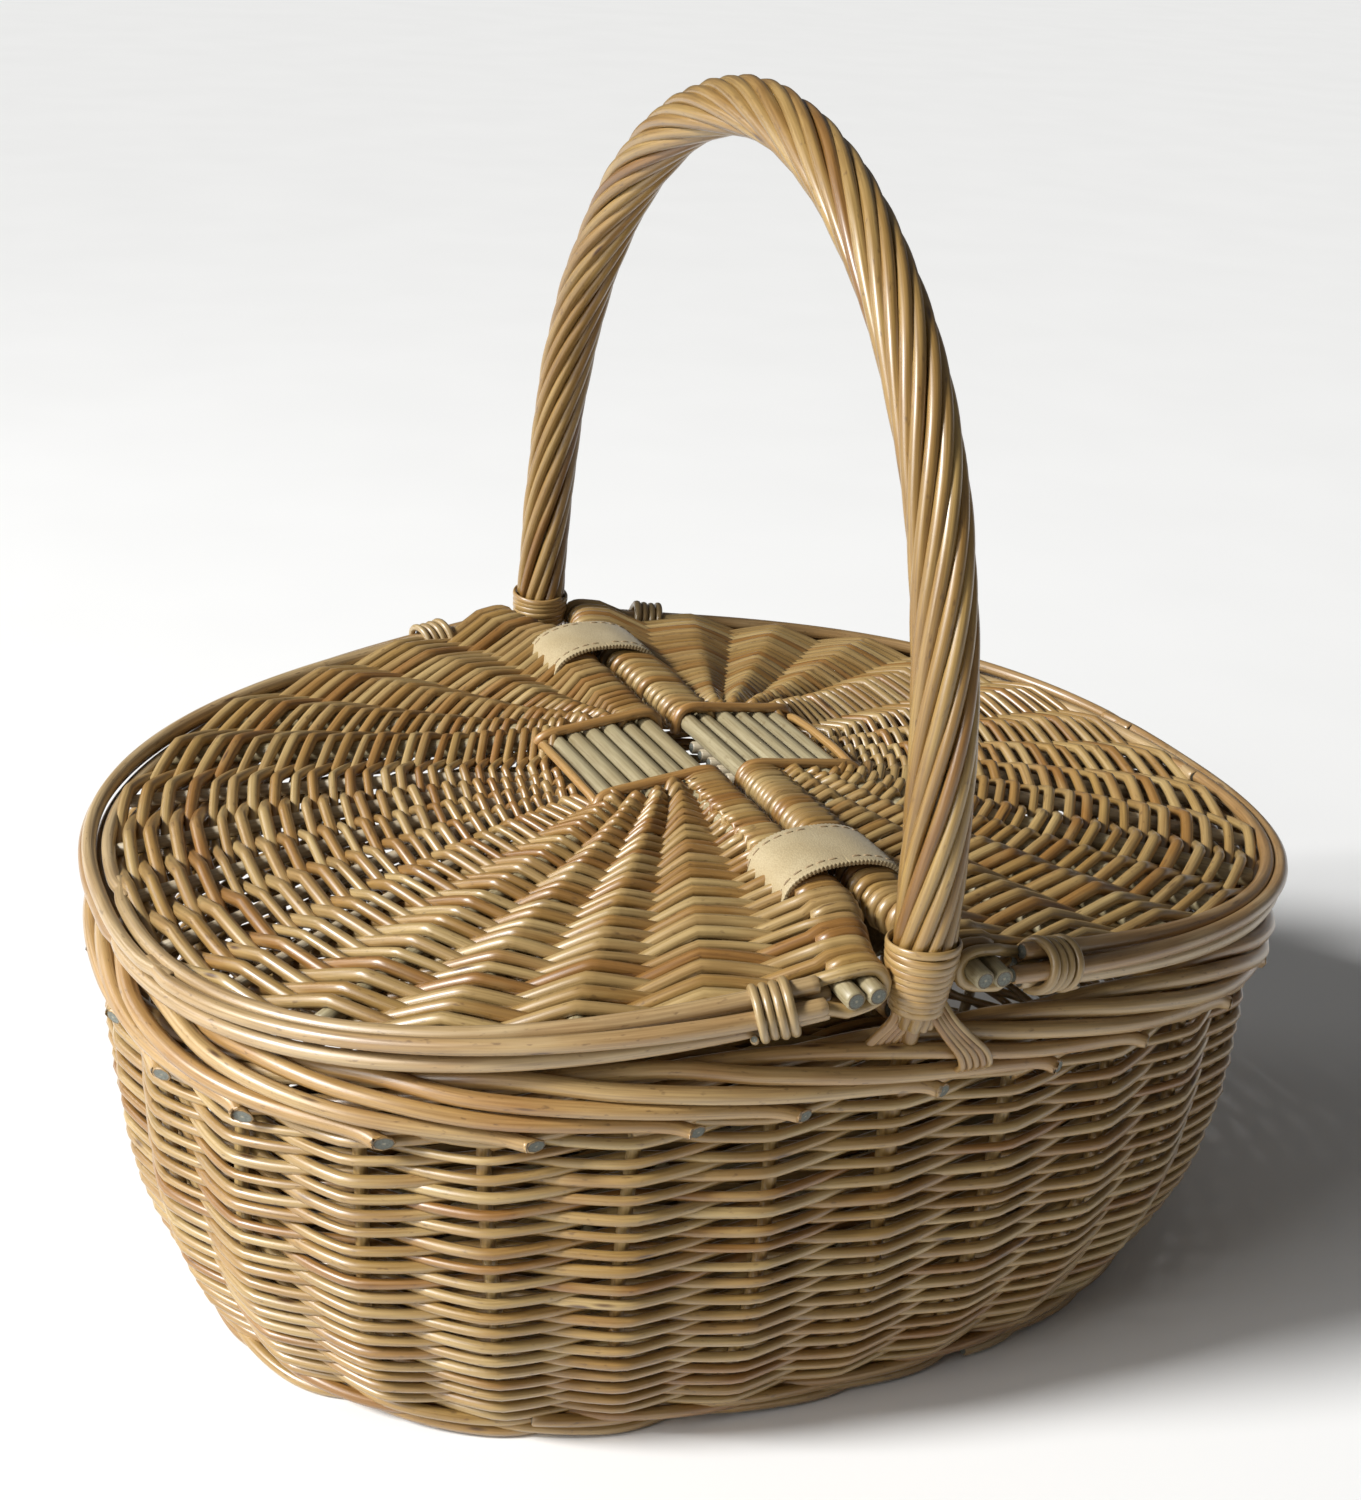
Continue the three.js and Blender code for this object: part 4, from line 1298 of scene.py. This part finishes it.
@dataclass
class Handle:
    """Bow handle: a thick core roped with twelve rods and bound at both feet."""

    half_span: float = 172.8
    foot_z: float = 188.0
    rise: float = 239.0
    powers: tuple = (1.86, 2.67)
    lean: float = 2.1
    legs: tuple = ((162.9, 96.0), (163.8, 118.0), (164.0, 142.0), (164.9, 147.0),
                   (167.5, 156.0), (170.0, 165.0), (171.8, 172.0), (172.6, 178.0))
    core_end: float = 90.0
    roping_end: float = 171.0
    rods: int = 12
    rod_radius: float = 2.32
    coil_radius: float = 8.0
    turn_length: float = 212.0
    binding_z: tuple = (175.5, 202.0)
    binding_turns: int = 10
    bar_half: float = 159.0
    bar_z: float = 170.0
    bar_radius: float = 4.9

    def centre(self, low: float) -> np.ndarray:
        """Middle line of the handle from the front foot to the back foot.

        Args:
            low: height where both legs end.

        Returns:
            (n, 3) points.
        """
        angle = np.linspace(0, math.pi, 400)
        cosine = np.cos(angle)
        y = -self.half_span * np.sign(cosine) * np.abs(cosine) ** (2 / self.powers[0])
        rise = self.rise * np.sin(angle) ** (2 / self.powers[1])
        x = rise * math.tan(math.radians(self.lean))
        arch = np.stack([x, y, self.foot_z + rise], axis=1)
        legs = [leg for leg in self.legs if leg[1] >= low]
        front = np.array([(0.0, -span, z) for span, z in legs])
        back = np.array([(0.0, span, z) for span, z in reversed(legs)])
        line = np.vstack([front, arch, back])
        return resample(line, 190)

    def core(self) -> None:
        """The thick bow and its two pegs pushed down into the wall."""
        bundle = RodBundle("handle_core", sides=14)
        line = self.centre(self.core_end)
        radius = 3.3 + 2.3 * smoothstep(160, 205, line[:, 2])
        bundle.add(Rod(line, radius, 0.5, facing=np.array([1.0, 0.0, 0.0])))
        place(bundle.build(HANDLE, CUT), "basket", Slot.HANDLE, "handle_bow")

    def roping(self) -> None:
        """Rods laid side by side round the bow in a long right-handed twist."""
        bundle = RodBundle("handle_rope_rods", sides=10)
        rng = np.random.default_rng(61)
        line = self.centre(self.roping_end)
        tangent = np.gradient(line, axis=0)
        tangent /= np.linalg.norm(tangent, axis=1)[:, None]
        across = np.array([1.0, 0.0, 0.0]) - tangent * tangent[:, :1]
        across /= np.linalg.norm(across, axis=1)[:, None]
        over = np.cross(tangent, across)
        distance = along(line)
        squeeze = 0.66 + 0.34 * smoothstep(172, 203, line[:, 2])
        for number in range(self.rods):
            phase = rng.uniform(0, FULL_TURN, 2)
            turn = FULL_TURN * (number / self.rods + distance / self.turn_length)
            turn = turn + 0.055 * np.sin(distance / 47 + phase[0])
            reach = (self.coil_radius + 0.22 * np.sin(distance / 61 + phase[1])) * squeeze
            rod = line + across * (reach * np.cos(turn))[:, None] + over * (reach * np.sin(turn))[:, None]
            thick = self.rod_radius * rng.uniform(0.92, 1.06)
            radius = thick * np.linspace(1.05, 0.93, len(rod)) * (0.8 + 0.2 * squeeze)
            if number % 2:
                radius = radius[::-1]
            bundle.add(Rod(rod, radius, float(rng.uniform(0, 1)), facing=across))
        place(bundle.build(HANDLE, CUT), "basket", Slot.HANDLE, "handle_roping")

    def leg_point(self, z: np.ndarray, flip: int) -> np.ndarray:
        """Middle of a leg at a height.

        Args:
            z: heights.
            flip: -1 for the front leg, 1 for the back one.

        Returns:
            (n, 3) points.
        """
        line = self.centre(self.core_end)
        half = line[: len(line) // 3]
        x = np.interp(z, half[:, 2], half[:, 0])
        y = np.interp(z, half[:, 2], -half[:, 1])
        return np.stack([x, flip * y, z], axis=1)

    def binding(self, label: str, flip: int) -> None:
        """Flat skein wound round the foot of the handle.

        Args:
            label: front or back.
            flip: -1 for the front leg, 1 for the back one.
        """
        bundle = RodBundle(f"handle_binding_{label}_skein", sides=10)
        rng = np.random.default_rng(71 + flip)
        low, high = self.binding_z
        pitch = (high - low) / self.binding_turns
        turn = np.linspace(0, FULL_TURN * self.binding_turns, 44 * self.binding_turns)
        z = high - pitch * (0.5 + turn / FULL_TURN * (self.binding_turns - 1) / self.binding_turns)
        z = z + 1.5 * np.cos(turn + 2.4) * smoothstep(FULL_TURN * 1.6, 0.0, turn)
        reach = 7.8 + 3.5 * smoothstep(low - 4, high - 3, z) + 0.12 * np.sin(turn * 0.43)
        outward = np.stack([np.cos(turn + 1.0), np.sin(turn + 1.0), np.zeros_like(turn)], axis=1)
        outward *= np.array([1.0, -float(flip), 1.0])
        line = self.leg_point(z, flip) + outward * reach[:, None]
        bundle.add(Rod(line, pitch * 0.56, float(rng.uniform(0.2, 1)), facing=outward, flatness=0.45))
        place(bundle.build(BINDING, CUT), "basket", Slot.HANDLE, f"handle_binding_{label}")

    def lashing(self, label: str, flip: int) -> None:
        """Fanned rod ends below the binding and the strands that tie it to the border.

        Args:
            label: front or back.
            flip: -1 for the front leg, 1 for the back one.
        """
        rng = np.random.default_rng(83 + flip)
        fan = RodBundle(f"handle_fan_{label}_rods", sides=10)
        for number in range(6):
            share = number / 5
            knots = np.array([(-6.0 + 10 * share, -171.5 - 2.5 * math.sin(math.pi * share), 182.0),
                              (-7.5 + 11 * share, -173.0, 174.5),
                              (-12.0 + 13 * share, -170.6, 167.0), (-17.0 + 15 * share, -168.2, 159.0)])
            knots[:, :2] *= -flip
            fan.add(Rod(smooth_line(knots, 6), 1.65, float(rng.uniform(0, 0.3))))
        place(fan.build(BORDER, CUT), "basket", Slot.HANDLE)
        strands = RodBundle(f"handle_lashing_{label}_strands", sides=10)
        for number in range(5):
            share = number / 4
            knots = np.array([(1.0 + 6 * share, -176.0, 180.0), (4.5 + 6.5 * share, -178.2, 173.5),
                              (9.0 + 8 * share, -178.6, 167.0), (13.5 + 9.5 * share, -179.0, 161.0),
                              (16.0 + 10 * share, -177.8, 155.5), (16.6 + 10 * share, -173.5, 151.5)])
            knots[:, :2] *= -flip
            strands.add(Rod(smooth_line(knots, 8), 1.2, float(rng.uniform(0, 1))))
        place(strands.build(WOVEN, CUT), "basket", Slot.TIE, f"handle_lashing_{label}")

    def cross_bar(self) -> None:
        """Stick across the rim that the hinge straps pass round."""
        bundle = RodBundle("cross_bar_stick", sides=16)
        y = np.linspace(-self.bar_half, self.bar_half, 60)
        wobble = 0.25 * np.sin(y / 41)
        line = np.stack([wobble, y, np.full_like(y, self.bar_z)], axis=1)
        bundle.add(Rod(line, self.bar_radius + 0.1 * np.sin(y / 23), 0.4))
        place(bundle.build(BORDER, CUT), "basket", Slot.BORDER, "cross_bar")

    def dress(self) -> None:
        """Build every part of the handle."""
        self.core()
        self.roping()
        for label, flip in (("front", -1), ("back", 1)):
            self.binding(label, flip)
            self.lashing(label, flip)
        self.cross_bar()


# ---------------------------------------------------------------- straps

@dataclass
class HingeStrap:
    """Leather loop round the cross bar and both hinge edges, made as two half loops."""

    y: float
    label: str
    half_width: float = 15.0
    thickness: float = 1.8
    loop: tuple = ((0.0, 163.4), (9.0, 165.0), (18.0, 170.5), (22.0, 178.0), (22.0, 186.0), (21.8, 194.0),
                   (17.6, 199.4), (9.4, 202.5), (0.0, 203.2))
    pinking: float = 0.28
    stitch_inset: float = 3.0
    stitch_pitch: float = 4.2
    stitch_length: float = 2.8
    crown: float = 0.5
    crown_above: float = 190.0
    bend_x: tuple = (4.0, 21.0)
    bend_z: float = 186.0

    def course(self, side: Side) -> np.ndarray:
        """Middle line of one half loop, evenly spaced.

        Args:
            side: which half.

        Returns:
            (n, 2) points: x and z.
        """
        knots = np.array(self.loop)
        mirrored = knots * np.array([-1.0, 1.0])
        whole = smooth_line(np.vstack([mirrored[2:0:-1], knots, mirrored[-2:-4:-1]]), 12)
        line = resample(whole[24:-24], 97)
        return line * np.array([side.value, 1.0])

    def half_strap(self, side: Side) -> bpy.types.Object:
        """A flat leather strip bent round one half of the loop, with pinked edges.

        Args:
            side: which half.

        Returns:
            The strip.
        """
        course = self.course(side)
        columns, rows = len(course), 13
        bpy.ops.mesh.primitive_grid_add(x_subdivisions=columns - 1, y_subdivisions=rows - 1, size=2)
        piece = bpy.context.object
        piece.name = f"hinge_strap_{self.label}_{side.body}"
        for vertex in piece.data.vertices:
            column = round((vertex.co.x + 1) / 2 * (columns - 1))
            edge = vertex.co.y
            tooth = self.pinking * (1 if column % 2 else -1) if abs(edge) > 0.99 else 0.0
            x, z = course[column]
            crown = self.crown * (1 - edge * edge) if z > self.crown_above else 0.0
            y = self.y + edge * self.half_width + tooth * math.copysign(1, edge)
            vertex.co = Vector((x, y, z + crown)) * MM
        solid = piece.modifiers.new("thickness", "SOLIDIFY")
        solid.thickness = self.thickness * MM
        solid.offset = 0
        bpy.ops.object.modifier_apply(modifier=solid.name)
        bpy.ops.object.mode_set(mode="EDIT")
        bpy.ops.mesh.select_all(action="DESELECT")
        bpy.ops.object.mode_set(mode="OBJECT")
        for face in piece.data.polygons:
            face.select = all(abs(piece.data.vertices[i].co.x) < 0.01 * MM for i in face.vertices)
        bpy.ops.object.mode_set(mode="EDIT")
        bpy.ops.mesh.delete(type="ONLY_FACE")
        bpy.ops.object.mode_set(mode="OBJECT")
        edge = piece.modifiers.new("rounded edge", "BEVEL")
        edge.width = 0.3 * MM
        edge.segments = 2
        edge.limit_method = "ANGLE"
        edge.angle_limit = math.radians(60)
        bpy.ops.object.modifier_apply(modifier=edge.name)
        bpy.ops.object.mode_set(mode="EDIT")
        bpy.ops.mesh.select_all(action="SELECT")
        bpy.ops.mesh.normals_make_consistent(inside=False)
        bpy.ops.object.mode_set(mode="OBJECT")
        bpy.ops.object.shade_smooth_by_angle(angle=math.radians(40))
        piece.data.materials.append(Leather().material())
        bpy.ops.object.select_all(action="DESELECT")
        return piece

    def stitches(self, side: Side) -> bpy.types.Object:
        """Rows of stitches near both edges of a half strap.

        Args:
            side: which half.

        Returns:
            The stitches as one piece.
        """
        bundle = RodBundle(f"strap_stitches_{self.label}_{side.body}", sides=6, chamfer=0.5)
        course = self.course(side)
        tangent = np.gradient(course, axis=0)
        tangent /= np.linalg.norm(tangent, axis=1)[:, None]
        outward = np.stack([tangent[:, 1], -tangent[:, 0]], axis=1) * side.value
        distance = along(course)
        for edge in (-1, 1):
            y = self.y + edge * (self.half_width - self.stitch_inset)
            crown = self.crown * (1 - ((self.half_width - self.stitch_inset) / self.half_width) ** 2)
            for start in np.arange(1.0, distance[-1] - 3.2, self.stitch_pitch):
                steps = np.linspace(start, start + self.stitch_length, 5)
                arc = np.sin(np.linspace(0, math.pi, 5))
                lift = self.thickness / 2 - 0.12 + 0.22 * arc
                x, z = (np.interp(steps, distance, course[:, i])
                        + lift * np.interp(steps, distance, outward[:, i]) for i in range(2))
                z = z + np.where(z > self.crown_above, crown, 0.0)
                line = np.stack([x, np.full_like(x, y), z], axis=1)
                bundle.add(Rod(line, 0.34, 0.5, facing=np.array([0.0, 1.0, 0.0])))
        return bundle.build(Thread(), Thread())

    def dress(self) -> None:
        """Build both halves of the loop and their stitches."""
        for side in Side:
            for piece in (self.half_strap(side), self.stitches(side)):
                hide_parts(f"hinge_strap_{self.label}")
                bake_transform(piece)
                LOG.info("%s: bends between the basket and %s", piece.name, side.body)


# ---------------------------------------------------------------- studio

@dataclass
class Studio:
    """Pale floor, soft lights and the camera."""

    target: tuple = (-0.010405, -0.0077, 0.199102)
    azimuth: float = -24.387
    elevation: float = 22.34
    distance: float = 0.837051
    roll: float = 3.102
    lens: float = 54.69
    floor_size: float = 14.0
    floor_colour: tuple = (0.93, 0.93, 0.92)
    sky_strength: float = 0.10

    def floor(self) -> None:
        """A wide plain floor under the basket."""
        bpy.ops.mesh.primitive_plane_add(size=self.floor_size)
        floor = bpy.context.object
        floor.name = "floor"
        pad = NodePad("floor_paint")
        where = pad.tree.nodes.new("ShaderNodeTexCoord").outputs["Object"]
        cloud = pad.noise(where, 6.0, 2.0)
        dim = tuple(part * 0.98 for part in self.floor_colour)
        pad.join(pad.ramp(cloud, [(0.3, dim), (0.7, self.floor_colour)]), pad.shader.inputs["Base Color"])
        pad.shader.inputs["Roughness"].default_value = 0.9
        floor.data.materials.append(pad.made)
        bpy.ops.object.select_all(action="DESELECT")

    def window_light(self, come_from: tuple, strength: float, spread: float) -> None:
        """Even soft light from one side.

        Args:
            come_from: direction it comes from.
            strength: its strength.
            spread: how wide the source looks, in degrees.
        """
        lamp = bpy.data.lights.new("window light", "SUN")
        lamp.energy = strength
        lamp.angle = math.radians(spread)
        holder = bpy.data.objects.new("window light", lamp)
        holder.rotation_euler = (-Vector(come_from)).to_track_quat("-Z", "Y").to_euler()
        bpy.context.scene.collection.objects.link(holder)

    def light(self, name: str, place_at: tuple, size: float, energy: float) -> None:
        """A square soft light aimed at the basket.

        Args:
            name: name of the light.
            place_at: where it hangs.
            size: its side in metres.
            energy: its power in watts.
        """
        lamp = bpy.data.lights.new(name, "AREA")
        lamp.size = size
        lamp.energy = energy
        holder = bpy.data.objects.new(name, lamp)
        holder.location = place_at
        direction = Vector((0, 0, 0.15)) - Vector(place_at)
        holder.rotation_euler = direction.to_track_quat("-Z", "Y").to_euler()
        bpy.context.scene.collection.objects.link(holder)

    def camera(self) -> None:
        """The camera, turned slightly about its own axis."""
        turn, rise, roll = (math.radians(a) for a in (self.azimuth, self.elevation, self.roll))
        back = Vector((math.sin(turn) * math.cos(rise), -math.cos(turn) * math.cos(rise), math.sin(rise)))
        right = (-back).cross(Vector((0, 0, 1))).normalized()
        above = right.cross(-back)
        tilted_right = math.cos(roll) * right + math.sin(roll) * above
        tilted_above = -math.sin(roll) * right + math.cos(roll) * above
        data = bpy.data.cameras.new("camera")
        data.lens = self.lens
        data.sensor_width = 36.0
        data.clip_start = 0.01
        holder = bpy.data.objects.new("camera", data)
        turned = Matrix((tilted_right, tilted_above, back)).transposed().to_4x4()
        holder.matrix_world = Matrix.Translation(Vector(self.target) + back * self.distance) @ turned
        bpy.context.scene.collection.objects.link(holder)
        bpy.context.scene.camera = holder

    def dress(self) -> None:
        """Set up floor, lights, sky and camera."""
        self.floor()
        self.window_light((-0.87, 0.03, 0.60), 4.6, 12.0)
        self.light("softbox", (-1.42, -0.5, 0.7), 0.6, 9.0)
        self.light("back softbox", (-1.1, 1.0, 0.8), 0.5, 3.0)
        world = bpy.data.worlds.new("sky")
        bpy.context.scene.world = world
        world.use_nodes = True
        sky = world.node_tree.nodes["Background"]
        sky.inputs["Color"].default_value = (1.0, 1.0, 1.0, 1.0)
        sky.inputs["Strength"].default_value = self.sky_strength
        bpy.context.scene.view_settings.view_transform = "Standard"
        self.camera()


def main() -> None:
    """Build the basket piece by piece."""
    logging.basicConfig(level=logging.INFO, format="%(name)s: %(message)s")
    bpy.ops.object.select_all(action="DESELECT")
    wall = WallShape()
    assemblies = (
        SideWeave(wall),
        FootWale(wall),
        RimBorder(wall),
        BasketBase(wall),
        Lid(Side.LEFT),
        Lid(Side.RIGHT),
        Handle(),
        HingeStrap(-STRAP_Y, "front"),
        HingeStrap(STRAP_Y, "back"),
        Studio(),
    )
    for assembly in assemblies:
        assembly.dress()
        LOG.info("%s is ready", type(assembly).__name__)


if __name__ == "__main__":
    main()
